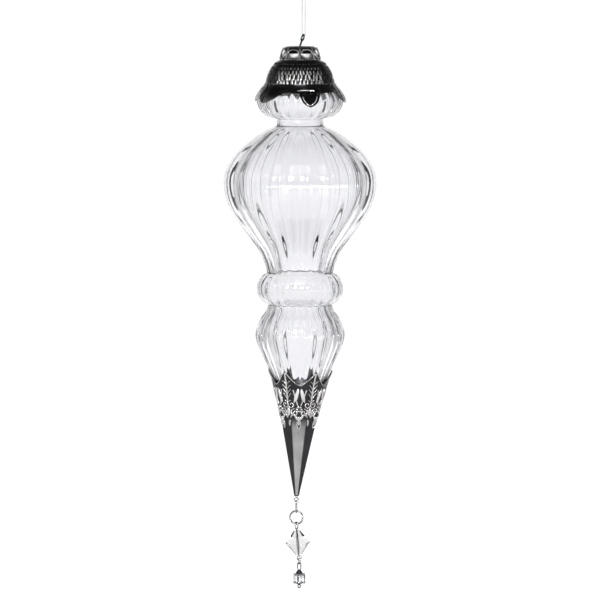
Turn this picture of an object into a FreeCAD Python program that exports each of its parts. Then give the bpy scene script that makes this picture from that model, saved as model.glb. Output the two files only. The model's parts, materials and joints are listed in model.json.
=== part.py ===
import FreeCAD, Part
import math
import os

import Sketcher
from FreeCAD import Placement, Rotation, Vector

# Icicle hanging ornament: a fluted blown-glass finial under a stamped metal cap, with a filigree cone
# on its point, a short chain, a faceted bead and a small stone-set charm. It hangs on a nylon loop.
#
# Millimetres, +Z up. The origin is the top of the hanging loop, at the underside of its knot, so the
# whole ornament hangs below z = 0. The front is towards -Y. The hanging line is the Z axis, and the
# glass stands a little to its left, because the hanger wire leans.

doc = FreeCAD.newDocument("icicle_ornament")
sizes = doc.addObject("Spreadsheet::Sheet", "sizes")

DRIVING_SIZES = [
    # Running and seating gaps
    ("link_gap", 0.12, "between two wires that hang in each other"),
    ("shank_gap", 0.06, "round a wire that turns in its hole"),
    ("seat_gap", 0.3, "between the glass and the metal around it, filled by adhesive"),
    ("touch_gap", 0.02, "between stacked stampings and between a stone and its seat"),
    ("run_out", 1.0, "how far a cut runs past what it cuts"),
    # Nylon loop
    ("thread_dia", 0.4, "nylon line"),
    ("thread_drop", 20.5, "from the knot to the centre of the wire it hangs on"),
    ("thread_gap", 0.15, "between the line and the wire it goes round"),
    ("knot_radius", 1.75, "overhand knot, as a round block"),
    ("knot_height", 3.0, "height of the knot"),
    ("knot_edge", 0.6, "rounding of the knot"),
    # Hanger wire
    ("hanger_wire", 1.0, "diameter of the hanger wire"),
    ("hanger_ring", 1.7, "radius of its eye, to the wire's centre"),
    ("hanger_turn", 20.0, "degrees that the eye is turned from the side view"),
    ("axis_shift", 2.0, "how far the glass stands to the left of the hanging line"),
    ("hanger_bend", 5.95, "from the eye's top wire down to the bend in the shank"),
    ("hanger_foot", 1.5, "radius of the upset foot under the washer"),
    ("foot_height", 0.7, "height of the upset foot"),
    ("washer_radius", 3.2, "washer that the foot pulls up against the dome"),
    ("washer_thick", 0.5, "thickness of the washer"),
    # Stamped cap: crown, dome and leaf skirt
    ("sheet_metal", 0.55, "thickness of the cap's stampings"),
    ("crown_top", 6.1, "from the hanger's top wire down to the crown's top"),
    ("crown_height", 7.5, "height of the crown"),
    ("crown_top_radius", 7.6, "flat top of the crown"),
    ("crown_shoulder", 1.6, "depth of the rounded shoulder of the crown"),
    ("crown_shoulder_radius", 9.3, "radius at the foot of that shoulder"),
    ("crown_shoulder_ease", 0.4, "how much larger the shoulder's arc is than the smallest that fits"),
    ("crown_base_radius", 11.4, "radius at the crown's foot"),
    ("crown_windows", 8, "number of arched windows"),
    ("crown_window_width", 4.2, "width of a window"),
    ("crown_window_height", 3.4, "height of a window"),
    ("arch_roundness", 1.02, "radius of an arched head, as a share of half its width"),
    ("dome_height", 14.6, "height of the dome"),
    ("dome_top_radius", 11.8, "flat top of the dome"),
    ("dome_waist", 9.4, "from the dome's top to where its side turns straight"),
    ("dome_waist_radius", 17.9, "radius there"),
    ("dome_arc", 11.0, "radius of the dome's rounding"),
    ("cap_play", 1.168, "between the glass and the inside of the dome's rim"),
    ("skirt_leaves", 6, "number of leaves round the cap"),
    ("skirt_turn", 14.0, "degrees from the front to the first leaf"),
    ("skirt_lap", 2.2, "how far the skirt laps over the dome's rim"),
    ("skirt_bead", 1.7, "thickness of the skirt at the dome's rim, as a share of the sheet"),
    ("skirt_length", 10.4, "from the skirt's upper edge to the tips of its leaves"),
    ("skirt_play", 0.402, "between the glass and the leaves, half way down them"),
    ("skirt_tip_play", 1.2, "how far the tips of the leaves stand out past the bead of glass"),
    ("skirt_arch", 4.2, "from the skirt's upper edge down to the arches between the leaves"),
    ("skirt_arch_width", 21.5, "width between two tips"),
    ("skirt_arch_curve", 0.8, "radius of an arch's sides, as a share of its width"),
    # Blown glass
    ("glass_wall", 1.5, "thickness of the blown wall"),
    ("glass_hole", 3.0, "blow hole, hidden in the cap"),
    ("glass_flutes", 24, "number of flutes"),
    ("flute_depth", 1.0, "depth of a flute at the widest places"),
    ("glass_top", 11.2, "from the dome's top down to the top of the glass"),
    ("bead_length", 20.6, "flattened bead under the cap"),
    ("bead_radius", 23.3, "widest radius of that bead"),
    ("neck_length", 3.4, "plain neck under it"),
    ("neck_radius", 12.6, "radius of the neck"),
    ("bulb_length", 79.6, "main bulb, from neck to waist"),
    ("bulb_radius", 41.6, "widest radius of the glass"),
    ("waist_radius", 17.9, "radius where the bulb meets the collar"),
    ("collar_length", 17.2, "ring-shaped collar"),
    ("collar_radius", 23.5, "widest radius of the collar"),
    ("lower_neck_radius", 17.3, "radius under the collar"),
    ("lower_length", 41.2, "lower bulb, from the collar to the cone's mouth"),
    ("lower_radius", 24.3, "widest radius of the lower bulb"),
    ("mouth_radius", 14.1, "radius of the glass at the cone's mouth"),
    ("tail_length", 24.0, "closed tail inside the cone"),
    ("band_width", 1.0, "width of the adhesive band under the dome"),
    ("cone_band_drop", 1.6, "from the cone's mouth down to the adhesive band in it"),
    # Filigree cone
    ("cone_wall", 0.55, "thickness of the cone's metal"),
    ("cone_lean", 1.75, "degrees that the cone leans to the left"),
    ("cone_length", 63.2, "from the cone's mouth to its tip"),
    ("cone_tip_radius", 1.3, "radius at the tip"),
    ("cone_leaf", 6.2, "how far the leaf tips rise over the mouth"),
    ("cone_leaf_play", 0.632, "between the glass and the inside of the leaf tips"),
    ("cone_leaves", 6, "number of leaves round the mouth"),
    ("cone_notch_width", 16.0, "width of the notches between the leaf tips"),
    ("cone_notch_depth", 9.6, "depth of the notches"),
    ("cone_notch_curve", 0.9, "radius of a notch's sides, as a share of its width"),
    ("cone_slot_width", 2.2, "width of the pierced slots"),
    ("cone_slot_length", 5.4, "length of the pierced slots"),
    ("cone_slot_drop", 7.6, "from the mouth down to the middle of the slots"),
    # Eye on the point, link, jump ring
    ("fine_wire", 0.7, "diameter of the wire of the eye, the pin and the loops"),
    ("link_wire", 0.6, "diameter of the wire of the small links"),
    ("tip_eye_ring", 1.1, "radius of the eye on the point, to the wire's centre"),
    ("tip_eye_stem", 1.0, "from the cone's tip to the eye"),
    ("tip_eye_root", 5.0, "how far the eye's stem goes up inside the cone"),
    ("link_ring", 1.0, "radius of the ends of the oval link, to the wire's centre"),
    ("link_length", 6.6, "length of the oval link, to the wire's centre"),
    ("link_turn", 75.0, "degrees that the link is turned from the front"),
    ("jump_wire", 0.95, "diameter of the jump ring's wire"),
    ("jump_ring_radius", 3.55, "radius of the jump ring, to the wire's centre"),
    ("jump_turn", 15.0, "degrees that the jump ring is turned from the front"),
    ("jump_split", 2.5, "degrees open at the ring's butt joint"),
    # Bead on its eye pin
    ("pin_lean", 4.5, "degrees that the pin leans"),
    ("pin_turn", 50.0, "degrees that the pin's upper loop is turned from the front"),
    ("pin_loop", 1.05, "radius of the ends of the pin's upper loop, to the wire's centre"),
    ("pin_loop_length", 3.6, "length of that loop, to the wire's centre"),
    ("pin_neck", 0.75, "bare pin at each end of the bead"),
    ("pin_low_loop", 1.1, "radius of the pin's lower loop, to the wire's centre"),
    ("bead_sides", 8, "sides of the faceted bead"),
    ("bead_width", 13.4, "width of the faceted bead, across corners"),
    ("bead_height", 13.0, "height of the faceted bead"),
    ("bead_end_width", 3.6, "width of its flat ends, across corners"),
    # Stone-set charm
    ("charm_ring_radius", 1.5, "radius of the charm's ring, to the wire's centre"),
    ("charm_ring_turn", 70.0, "degrees that the charm's ring is turned from the front"),
    ("charm_turn", 33.0, "degrees that the charm is turned"),
    ("charm_loop", 0.9, "radius of the ends of the charm's upper loop, to the wire's centre"),
    ("charm_loop_length", 3.9, "length of that loop, to the wire's centre"),
    ("charm_side", 4.7, "width of the square setting"),
    ("charm_box", 5.2, "height of the square setting"),
    ("charm_cap", 1.9, "height of the cap over the setting"),
    ("charm_cap_radius", 2.16, "radius where the cap and the foot meet the setting"),
    ("charm_base", 0.8, "height of the foot under the setting"),
    ("charm_neck_radius", 0.9, "radius where the cap and the foot meet their loops"),
    ("charm_low_loop", 0.8, "radius of the charm's lower loop, to the wire's centre"),
    ("stone_width", 3.5, "width of each stone"),
    ("stone_height", 4.0, "height of each stone"),
    ("stone_seat", 0.8, "depth of each stone's seat"),
    ("stone_rise", 0.7, "how far a stone stands out of its seat"),
    ("stone_bevel", 0.55, "bevel round a stone's face"),
]

for row, (alias, number, meaning) in enumerate(DRIVING_SIZES, start=1):
    sizes.set(f"A{row}", meaning)
    sizes.set(f"B{row}", str(number))
    sizes.setAlias(f"B{row}", alias)
doc.recompute()


def size(alias):
    """The number in one cell of the sheet."""
    return float(sizes.get(alias))


def worked_out(expression):
    """The number that an expression on the sheet's cells comes to."""
    return float(sizes.evalExpression(expression))


# ---------------------------------------------------------------------------------------------
# Heights that follow from the sizes, as expressions on the sheet
# ---------------------------------------------------------------------------------------------

HANG_Z = "(-sizes.thread_drop)"
CROWN_TOP = f"({HANG_Z} - sizes.crown_top)"
DOME_TOP = f"({CROWN_TOP} - sizes.crown_height - sizes.touch_gap)"
DOME_RIM = f"({DOME_TOP} - sizes.dome_height)"
SKIRT_TOP = f"({DOME_RIM} + sizes.skirt_lap)"
GLASS_TOP = f"({DOME_TOP} - sizes.glass_top)"
NECK_TOP = f"({GLASS_TOP} - sizes.bead_length)"
BULB_TOP = f"({NECK_TOP} - sizes.neck_length)"
COLLAR_TOP = f"({BULB_TOP} - sizes.bulb_length)"
LOWER_TOP = f"({COLLAR_TOP} - sizes.collar_length)"
MOUTH = f"({LOWER_TOP} - sizes.lower_length)"
# The cone and the eye on its point share one leaning line; what hangs from the eye hangs plumb.
EYE_REACH = "(sizes.cone_length + sizes.tip_eye_stem + 2 * sizes.tip_eye_ring)"
CHAIN_X = f"(-sizes.axis_shift - {EYE_REACH} * sin(sizes.cone_lean * 1 deg))"
# Each hanging piece turns about the wire that it hangs on, at the middle of that wire's lowest point.
LINK_PIVOT = f"({MOUTH} - {EYE_REACH} * cos(sizes.cone_lean * 1 deg))"
LINK_TOP = f"({LINK_PIVOT} + sizes.fine_wire / 2 + sizes.link_gap + sizes.link_wire / 2)"
LINK_BOTTOM = f"({LINK_TOP} - sizes.link_length)"
RING_TOP = f"({LINK_BOTTOM} + sizes.link_wire / 2 + sizes.link_gap + sizes.jump_wire / 2)"
RING_CENTRE = f"({RING_TOP} - sizes.jump_ring_radius)"
PIN_PIVOT = f"({RING_CENTRE} - sizes.jump_ring_radius)"
PIN_TOP = "(sizes.jump_wire / 2 + sizes.link_gap + sizes.fine_wire / 2)"
# Below the pin's pivot, heights are taken along the leaning pin.
BEAD_TOP = f"({PIN_TOP} - sizes.pin_loop_length - sizes.fine_wire / 2 - sizes.pin_neck)"
LOW_LOOP = f"({BEAD_TOP} - sizes.bead_height - sizes.pin_neck - sizes.pin_low_loop)"
LOW_PIVOT_DROP = f"({LOW_LOOP} - sizes.pin_low_loop)"
CHARM_X = f"({CHAIN_X} - {LOW_PIVOT_DROP} * sin(sizes.pin_lean * 1 deg))"
CHARM_RING_PIVOT = f"({PIN_PIVOT} + {LOW_PIVOT_DROP} * cos(sizes.pin_lean * 1 deg))"
CHARM_RING_TOP = "(sizes.fine_wire / 2 + sizes.link_gap + sizes.link_wire / 2)"
CHARM_RING_CENTRE = f"({CHARM_RING_PIVOT} + {CHARM_RING_TOP} - sizes.charm_ring_radius)"
CHARM_PIVOT = f"({CHARM_RING_CENTRE} - sizes.charm_ring_radius)"
# Below the charm's pivot, heights are taken from that pivot.
CHARM_TOP = "(sizes.link_wire + sizes.link_gap)"
CAP_TOP = f"({CHARM_TOP} - sizes.charm_loop_length - sizes.link_wire / 4)"
BOX_TOP = f"({CAP_TOP} - sizes.charm_cap)"
BOX_BOTTOM = f"({BOX_TOP} - sizes.charm_box)"
FOOT_BOTTOM = f"({BOX_BOTTOM} - sizes.charm_base)"
CHARM_LOW_LOOP = f"({FOOT_BOTTOM} - sizes.charm_low_loop - sizes.link_wire / 4)"

AXIS_X = "(-sizes.axis_shift)"
finished = []


# ---------------------------------------------------------------------------------------------
# Outline of the glass, and the radii of the metal that follow it
# ---------------------------------------------------------------------------------------------

# The outline of each stretch of the glass, as (share of its length, share of the way from the radius
# at its end to its widest radius). The second list of a stretch starts from its widest place.
BEAD_UPPER = [(0.0, 0.0), (0.06, 0.42), (0.2, 0.78), (0.5, 1.0)]
BEAD_LOWER = [(0.78, 0.83), (0.93, 0.45), (1.0, 0.0)]
BULB_UPPER = [(0.0, 0.0), (0.05, 0.29), (0.12, 0.56), (0.2, 0.79), (0.3, 0.96), (0.395, 1.0)]
BULB_LOWER = [(0.5, 0.94), (0.6, 0.78), (0.72, 0.49), (0.84, 0.2), (0.93, 0.06), (1.0, 0.0)]
COLLAR_UPPER = [(0.0, 0.0), (0.1, 0.5), (0.28, 0.87), (0.5, 1.0)]
COLLAR_LOWER = [(0.72, 0.86), (0.9, 0.45), (1.0, 0.0)]
LOWER_UPPER = [(0.0, 0.0), (0.1, 0.24), (0.22, 0.72), (0.37, 1.0)]
LOWER_LOWER = [(0.5, 0.92), (0.65, 0.66), (0.82, 0.32), (1.0, 0.0)]
TAIL_SHAPE = [(0.0, 1.0), (0.25, 0.86), (0.5, 0.63), (0.75, 0.35), (0.92, 0.14)]
SECTIONS_A_STRETCH = 11


def bulge(upper, lower, top, length, first, widest, last):
    """Points of a stretch that swells from its first radius to its widest and back to its last."""
    rising = [(first + (widest - first) * reach, top - length * share) for share, reach in upper]
    falling = [(last + (widest - last) * reach, top - length * share) for share, reach in lower]
    return rising + falling


def glass_stations():
    """(radius, height) of the outside from the top of the glass to its tail, stretch by stretch."""
    neck = size("neck_radius")
    waist = size("waist_radius")
    lower_neck = size("lower_neck_radius")
    mouth = size("mouth_radius")
    hole = size("glass_hole") / 2 + size("glass_wall")
    tail = [(mouth * reach, worked_out(MOUTH) - size("tail_length") * share) for share, reach in TAIL_SHAPE]
    stretches = [
        bulge(BEAD_UPPER, BEAD_LOWER, worked_out(GLASS_TOP), size("bead_length"),
              hole, size("bead_radius"), neck),
        bulge(BULB_UPPER, BULB_LOWER, worked_out(BULB_TOP), size("bulb_length"),
              neck, size("bulb_radius"), waist),
        bulge(COLLAR_UPPER, COLLAR_LOWER, worked_out(COLLAR_TOP), size("collar_length"),
              waist, size("collar_radius"), lower_neck),
        bulge(LOWER_UPPER, LOWER_LOWER, worked_out(LOWER_TOP), size("lower_length"),
              lower_neck, size("lower_radius"), mouth) + tail[1:],
    ]
    rows = []
    for stretch in stretches:
        curve = Part.BSplineCurve()
        curve.interpolate([Vector(radius, 0, height) for radius, height in stretch])
        first, last = curve.FirstParameter, curve.LastParameter
        for step in range(SECTIONS_A_STRETCH + 1):
            point = curve.value(first + (last - first) * step / SECTIONS_A_STRETCH)
            if not rows or (point - rows[-1]).Length > size("touch_gap"):
                rows.append(point)
    return rows


def glass_radius(height):
    """The outer radius of the glass at a height."""
    rows = glass_stations()
    for above, under in zip(rows, rows[1:]):
        if above.z >= height >= under.z:
            return above.x + (under.x - above.x) * (above.z - height) / (above.z - under.z)
    raise ValueError("no glass at that height")


def leaf_arc():
    """Radius of the leaves' curl that carries them over the glass half way down."""
    root = size("dome_base_radius") + size("touch_gap")
    tip = size("bead_radius") + size("skirt_tip_play") - size("sheet_metal")
    top = worked_out(DOME_RIM) - size("sheet_metal") / 2
    bottom = worked_out(f"{SKIRT_TOP} - sizes.skirt_length")
    chord = math.hypot(tip - root, top - bottom)
    bulge_out = glass_radius((top + bottom) / 2) + size("skirt_play") - (root + tip) / 2
    rise = bulge_out * (top - bottom) / chord
    return (chord ** 2 / 4 + rise ** 2) / (2 * rise) + size("sheet_metal")


# The metal keeps its play round the glass whatever the glass's sizes are. The glass's outline is a
# smooth curve, so its radius is worked out here and written into the same sheet.
FOLLOWING_SIZES = [
    ("dome_base_radius", "radius at the dome's rim",
     lambda: glass_radius(worked_out(DOME_RIM)) + size("cap_play") + size("sheet_metal")),
    ("cone_leaf_radius", "radius at the inside of the leaf tips",
     lambda: glass_radius(worked_out(MOUTH) + size("cone_leaf")) + size("cone_leaf_play")),
    ("skirt_arc", "radius of the leaves' curl over the glass", leaf_arc),
]

for row, (alias, meaning, follow) in enumerate(FOLLOWING_SIZES, start=len(DRIVING_SIZES) + 1):
    sizes.set(f"A{row}", meaning)
    sizes.set(f"B{row}", str(follow()))
    sizes.setAlias(f"B{row}", alias)
    doc.recompute()

SKIRT_TIP_RADIUS = "(sizes.bead_radius + sizes.skirt_tip_play)"


# ---------------------------------------------------------------------------------------------
# Ways of making a piece
# ---------------------------------------------------------------------------------------------


def place(piece, x="0", y="0", z="0"):
    """Bind the position of a piece to expressions on the sheet."""
    piece.setExpression(".Placement.Base.x", x)
    piece.setExpression(".Placement.Base.y", y)
    piece.setExpression(".Placement.Base.z", z)


def turn(piece, axis, degrees):
    """Turn a piece about its own origin, by an expression in degrees."""
    piece.Placement = Placement(piece.Placement.Base, Rotation(Vector(*axis), worked_out(degrees)))


def primitive(kind, name, at=("0", "0", "0"), **bindings):
    """A Part primitive whose properties follow expressions on the sheet."""
    shape = doc.addObject(f"Part::{kind}", name)
    for field, expression in bindings.items():
        shape.setExpression(field, expression)
    place(shape, *at)
    return shape


def fused(name, members):
    """Several touching shapes made one piece."""
    whole = doc.addObject("Part::MultiFuse", name)
    whole.Shapes = members
    whole.Label = name
    return whole


def cut(name, base, tool):
    """One shape with another taken out of it."""
    rest = doc.addObject("Part::Cut", name)
    rest.Base = base
    rest.Tool = tool
    rest.Label = name
    return rest


def finish(piece, label):
    """Name a piece that is written out as a sub-part."""
    piece.Label = label
    finished.append(piece)
    return piece


def drawn(name, shape):
    """A piece whose shape is worked out here from the sheet."""
    piece = doc.addObject("Part::Feature", name)
    piece.Shape = shape
    return piece


def new_body(name):
    """An empty PartDesign body."""
    return doc.addObject("PartDesign::Body", name)


def origin_feature(body, role):
    """One of a body's own origin planes or axes."""
    return next(feature for feature in body.Origin.OriginFeatures if feature.Role == role)


def sketch_on(body, name, plane, lift=None):
    """A sketch on one of the body's origin planes, lifted off it by an expression."""
    sketch = body.newObject("Sketcher::SketchObject", name)
    sketch.AttachmentSupport = [(origin_feature(body, plane), "")]
    sketch.MapMode = "FlatFace"
    if lift:
        sketch.setExpression(".AttachmentOffset.Base.z", lift)
    return sketch


LEFT, RIGHT = 1, -1  # the side of the way on which an arc bulges
START, END = 1, 2  # the sketcher's numbers for the two ends of a curve


def arc_between(start, stop, radius, side):
    """The short arc of a radius between two points, drawn counter-clockwise as the sketcher keeps it."""
    middle = (start + stop) * 0.5
    half = (stop - start).Length / 2
    along = (stop - start).normalize()
    across = Vector(-along.y, along.x, 0)
    centre = middle - across * (side * math.sqrt(radius * radius - half * half))
    first, last = (stop, start) if side == LEFT else (start, stop)
    angles = [math.atan2(point.y - centre.y, point.x - centre.x) for point in (first, last)]
    return Part.ArcOfCircle(Part.Circle(centre, Vector(0, 0, 1), radius), *angles)


def draw_outline(sketch, steps):
    """A closed outline. Each step is (x, y) for a line to that point, or (x, y, radius, side)."""
    points = [Vector(worked_out(step[0]), worked_out(step[1]), 0) for step in steps]
    rules = []
    bindings = []
    for number, step in enumerate(steps):
        start, stop = points[number - 1], points[number]
        leads, lands = START, END
        if len(step) == 2:
            sketch.addGeometry(Part.LineSegment(start, stop), False)
        else:
            radius = worked_out(step[2])
            sketch.addGeometry(arc_between(start, stop, radius, step[3]), False)
            if step[3] == LEFT:
                leads, lands = END, START
            bindings.append((len(rules), step[2]))
            rules.append(Sketcher.Constraint("Radius", number, radius))
        if number == 0:
            first_leads = leads
        else:
            rules.append(Sketcher.Constraint("Coincident", number - 1, landed, number, leads))
        landed = lands
        for kind, distance, expression in (("DistanceX", stop.x, step[0]), ("DistanceY", stop.y, step[1])):
            bindings.append((len(rules), expression))
            rules.append(Sketcher.Constraint(kind, -1, 1, number, lands, distance))
    rules.append(Sketcher.Constraint("Coincident", len(steps) - 1, landed, 0, first_leads))
    sketch.addConstraint(rules)
    for index, expression in bindings:
        sketch.setExpression(f"Constraints[{index}]", expression)


def revolved(name, steps):
    """A body turned about Z from an outline of radii and heights."""
    body = new_body(name)
    sketch = sketch_on(body, f"{name}_outline", "XZ_Plane")
    draw_outline(sketch, steps)
    turning = body.newObject("PartDesign::Revolution", f"{name}_turned")
    turning.Profile = sketch
    turning.ReferenceAxis = (sketch, ["V_Axis"])
    turning.Angle = 360.0
    doc.recompute()
    return body


def cut_all_round(body, name, plane, steps, count):
    """Cut an outline through one side of a body, and repeat it round Z."""
    before = body.Shape.Volume
    sketch = sketch_on(body, f"{name}_outline", plane)
    draw_outline(sketch, steps)
    pocket = body.newObject("PartDesign::Pocket", f"{name}_cut")
    pocket.Profile = sketch
    pocket.Type = "ThroughAll"
    doc.recompute()
    if not pocket.Shape.Volume < before:
        raise RuntimeError(f"{name} cuts nothing")
    pattern = body.newObject("PartDesign::PolarPattern", f"{name}_round")
    pattern.Originals = [pocket]
    pattern.Axis = (origin_feature(body, "Z_Axis"), [""])
    pattern.Angle = 360.0
    pattern.setExpression("Occurrences", count)
    body.Tip = pattern
    doc.recompute()
    return pattern


def ring(name, radius, wire, z="0", opening=None, facing="0"):
    """An upright wire ring, its centre at a height. It faces the front unless facing turns it about Z."""
    hoop = primitive("Torus", name, at=("0", "0", z), Radius1=radius, Radius2=f"{wire} / 2")
    if opening:
        hoop.setExpression("Angle3", f"360 - {opening}")
    upright = Rotation(Vector(1, 0, 0), 90)
    swing = Rotation(Vector(0, 0, 1), worked_out(facing))
    hoop.Placement = Placement(hoop.Placement.Base, swing * upright)
    return hoop


def rod(name, wire, bottom, length):
    """A straight upright wire on the Z axis."""
    return primitive("Cylinder", name, at=("0", "0", bottom), Radius=f"{wire} / 2", Height=length)


def oval_loop(name, radius, wire, length, top):
    """The solids of a long upright link: two half rings and two straight sides. top is its upper wire."""
    upper_z = f"({top} - {radius})"
    lower_z = f"({top} - {length} + {radius})"
    members = []
    for part, height, tilt in (("upper", upper_z, 1), ("lower", lower_z, -1)):
        half = primitive(
            "Torus", f"{name}_{part}", at=("0", "0", height), Radius1=radius, Radius2=f"{wire} / 2"
        )
        half.Angle3 = 180
        half.Placement = Placement(half.Placement.Base, Rotation(Vector(1, 0, 0), 90 * tilt))
        members.append(half)
    for part, shift in (("left", "-"), ("right", "")):
        members.append(
            primitive(
                "Cylinder",
                f"{name}_{part}",
                at=(f"{shift}{radius}", "0", lower_z),
                Radius=f"{wire} / 2",
                Height=f"{upper_z} - {lower_z}",
            )
        )
    return members


# ---------------------------------------------------------------------------------------------
# Nylon loop and its knot
# ---------------------------------------------------------------------------------------------


def make_thread():
    """One line from the knot, down, under the hanger's wire and up again, as a plain tube."""
    bend = size("hanger_wire") / 2 + size("thread_gap") + size("thread_dia") / 2
    drop = size("thread_drop")
    left_top = Vector(-bend, 0, 0)
    left_low = Vector(-bend, 0, -drop)
    lowest = Vector(0, 0, -drop - bend)
    right_low = Vector(bend, 0, -drop)
    right_top = Vector(bend, 0, 0)
    path = Part.Wire(
        [
            Part.LineSegment(left_top, left_low).toShape(),
            Part.Arc(left_low, lowest, right_low).toShape(),
            Part.LineSegment(right_low, right_top).toShape(),
        ]
    )
    section = Part.Wire([Part.makeCircle(size("thread_dia") / 2, left_top, Vector(0, 0, 1))])
    tube = path.makePipeShell([section], True, False)
    expected = math.pi * (size("thread_dia") / 2) ** 2 * path.Length
    if abs(tube.Volume - expected) > 0.01 * expected:
        raise RuntimeError("the thread's volume is not its section times its length")
    print(f"thread: {path.Length:.1f} mm long, its one bend of radius {bend:.2f} mm")
    return finish(drawn("thread", tube), "thread")


def make_knot():
    """The overhand knot that closes the loop, as a rounded block that both ends go into."""
    block = primitive("Cylinder", "knot_block", Radius="sizes.knot_radius", Height="sizes.knot_height")
    doc.recompute()
    knot = doc.addObject("Part::Fillet", "thread_knot")
    knot.Base = block
    edge = size("knot_edge")
    rims = [n for n, rim in enumerate(block.Shape.Edges, start=1) if rim.Curve.TypeId == "Part::GeomCircle"]
    knot.Edges = [(n, edge, edge) for n in rims]
    return finish(knot, "thread_knot")


# ---------------------------------------------------------------------------------------------
# Hanger wire
# ---------------------------------------------------------------------------------------------


def make_hanger():
    """Eye, leaning shank, upright shank through the cap, and an upset foot under the washer."""
    lean = "atan2(sizes.axis_shift; sizes.hanger_bend)"
    slope = "sqrt(sizes.axis_shift ^ 2 + sizes.hanger_bend ^ 2)"
    eye = ring(
        "hanger_eye_ring",
        "sizes.hanger_ring",
        "sizes.hanger_wire",
        z="-sizes.hanger_ring",
        facing="90 - sizes.hanger_turn",
    )
    slant = rod(
        "hanger_slant",
        "sizes.hanger_wire",
        f"-{slope}",
        f"{slope} - 2 * sizes.hanger_ring",
    )
    leaning = fused("hanger_leaning", [eye, slant])
    place(leaning, z=HANG_Z)
    turn(leaning, (0, 1, 0), lean)
    bend_z = f"({HANG_Z} - sizes.hanger_bend)"
    foot_top = f"({DOME_TOP} - sizes.sheet_metal - sizes.washer_thick - 2 * sizes.touch_gap)"
    knee = primitive("Sphere", "hanger_knee", at=(AXIS_X, "0", bend_z), Radius="sizes.hanger_wire / 2")
    upright = primitive(
        "Cylinder",
        "hanger_upright",
        at=(AXIS_X, "0", foot_top),
        Radius="sizes.hanger_wire / 2",
        Height=f"{bend_z} - {foot_top}",
    )
    foot = primitive(
        "Cylinder",
        "hanger_foot",
        at=(AXIS_X, "0", f"{foot_top} - sizes.foot_height"),
        Radius="sizes.hanger_foot",
        Height="sizes.foot_height",
    )
    finish(fused("hanger_wire_whole", [leaning, knee, upright, foot]), "hanger_wire")

    washer = new_body("hanger_washer")
    sketch = sketch_on(washer, "washer_rings", "XY_Plane")
    for radius in ("sizes.washer_radius", "sizes.hanger_wire / 2 + sizes.touch_gap"):
        circle = sketch.addGeometry(Part.Circle(Vector(), Vector(0, 0, 1), worked_out(radius)), False)
        sketch.addConstraint(Sketcher.Constraint("Coincident", circle, 3, -1, 1))
        index = sketch.addConstraint(Sketcher.Constraint("Radius", circle, worked_out(radius)))
        sketch.setExpression(f"Constraints[{index}]", radius)
    pad = washer.newObject("PartDesign::Pad", "washer_plate")
    pad.Profile = sketch
    pad.setExpression("Length", "sizes.washer_thick")
    place(washer, x=AXIS_X, z=f"{foot_top} + sizes.touch_gap / 2")
    finish(washer, "hanger_washer")


# ---------------------------------------------------------------------------------------------
# Stamped cap
# ---------------------------------------------------------------------------------------------

SHANK_HOLE = "(sizes.hanger_wire / 2 + sizes.shank_gap)"


def make_crown():
    """Openwork crown on top of the cap: a small thin bell with a ring of arched windows."""
    wall = "sizes.sheet_metal"
    foot = f"({DOME_TOP} + sizes.touch_gap)"
    shoulder = f"({CROWN_TOP} - sizes.crown_shoulder)"
    # The shoulder's radius follows from its run and its drop.
    run = "(sizes.crown_shoulder_radius - sizes.crown_top_radius)"
    arc = f"(({run} ^ 2 + sizes.crown_shoulder ^ 2) / (2 * sizes.crown_shoulder) + sizes.crown_shoulder_ease)"
    crown = revolved(
        "crown",
        [
            (SHANK_HOLE, f"{CROWN_TOP} - {wall}"),
            (SHANK_HOLE, CROWN_TOP),
            ("sizes.crown_top_radius", CROWN_TOP),
            ("sizes.crown_shoulder_radius", shoulder, arc, LEFT),
            ("sizes.crown_base_radius", foot),
            (f"sizes.crown_base_radius - {wall}", foot),
            (f"sizes.crown_shoulder_radius - {wall}", shoulder),
            (f"sizes.crown_top_radius - {wall} / 2", f"{CROWN_TOP} - {wall}", arc, RIGHT),
        ],
    )
    middle = f"({shoulder} - (sizes.crown_height - sizes.crown_shoulder) / 2)"
    half_width = "sizes.crown_window_width / 2"
    half_height = "sizes.crown_window_height / 2"
    window_arc = f"({half_width} * sizes.arch_roundness)"
    cut_all_round(
        crown,
        "crown_window",
        "XZ_Plane",
        [
            (f"-{half_width}", f"{middle} - {half_height}"),
            (f"-{half_width}", f"{middle} + {half_height} - {half_width}"),
            (half_width, f"{middle} + {half_height} - {half_width}", window_arc, LEFT),
            (half_width, f"{middle} - {half_height}"),
        ],
        "sizes.crown_windows",
    )
    turn(crown, (0, 0, 1), "180 / sizes.crown_windows")
    place(crown, x=AXIS_X)
    finish(crown, "crown")


def make_dome():
    """The cap's dome, a deep thin bell over the top of the glass."""
    wall = "sizes.sheet_metal"
    waist = f"({DOME_TOP} - sizes.dome_waist)"
    dome = revolved(
        "cap_dome",
        [
            (SHANK_HOLE, f"{DOME_TOP} - {wall}"),
            (SHANK_HOLE, DOME_TOP),
            ("sizes.dome_top_radius", DOME_TOP),
            ("sizes.dome_waist_radius", waist, "sizes.dome_arc", LEFT),
            ("sizes.dome_base_radius", DOME_RIM),
            (f"sizes.dome_base_radius - {wall}", DOME_RIM),
            (f"sizes.dome_waist_radius - {wall}", waist),
            (f"sizes.dome_top_radius - {wall} / 2", f"{DOME_TOP} - {wall}", f"sizes.dome_arc - {wall}", RIGHT),
        ],
    )
    place(dome, x=AXIS_X)
    finish(dome, "cap_dome")


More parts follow.
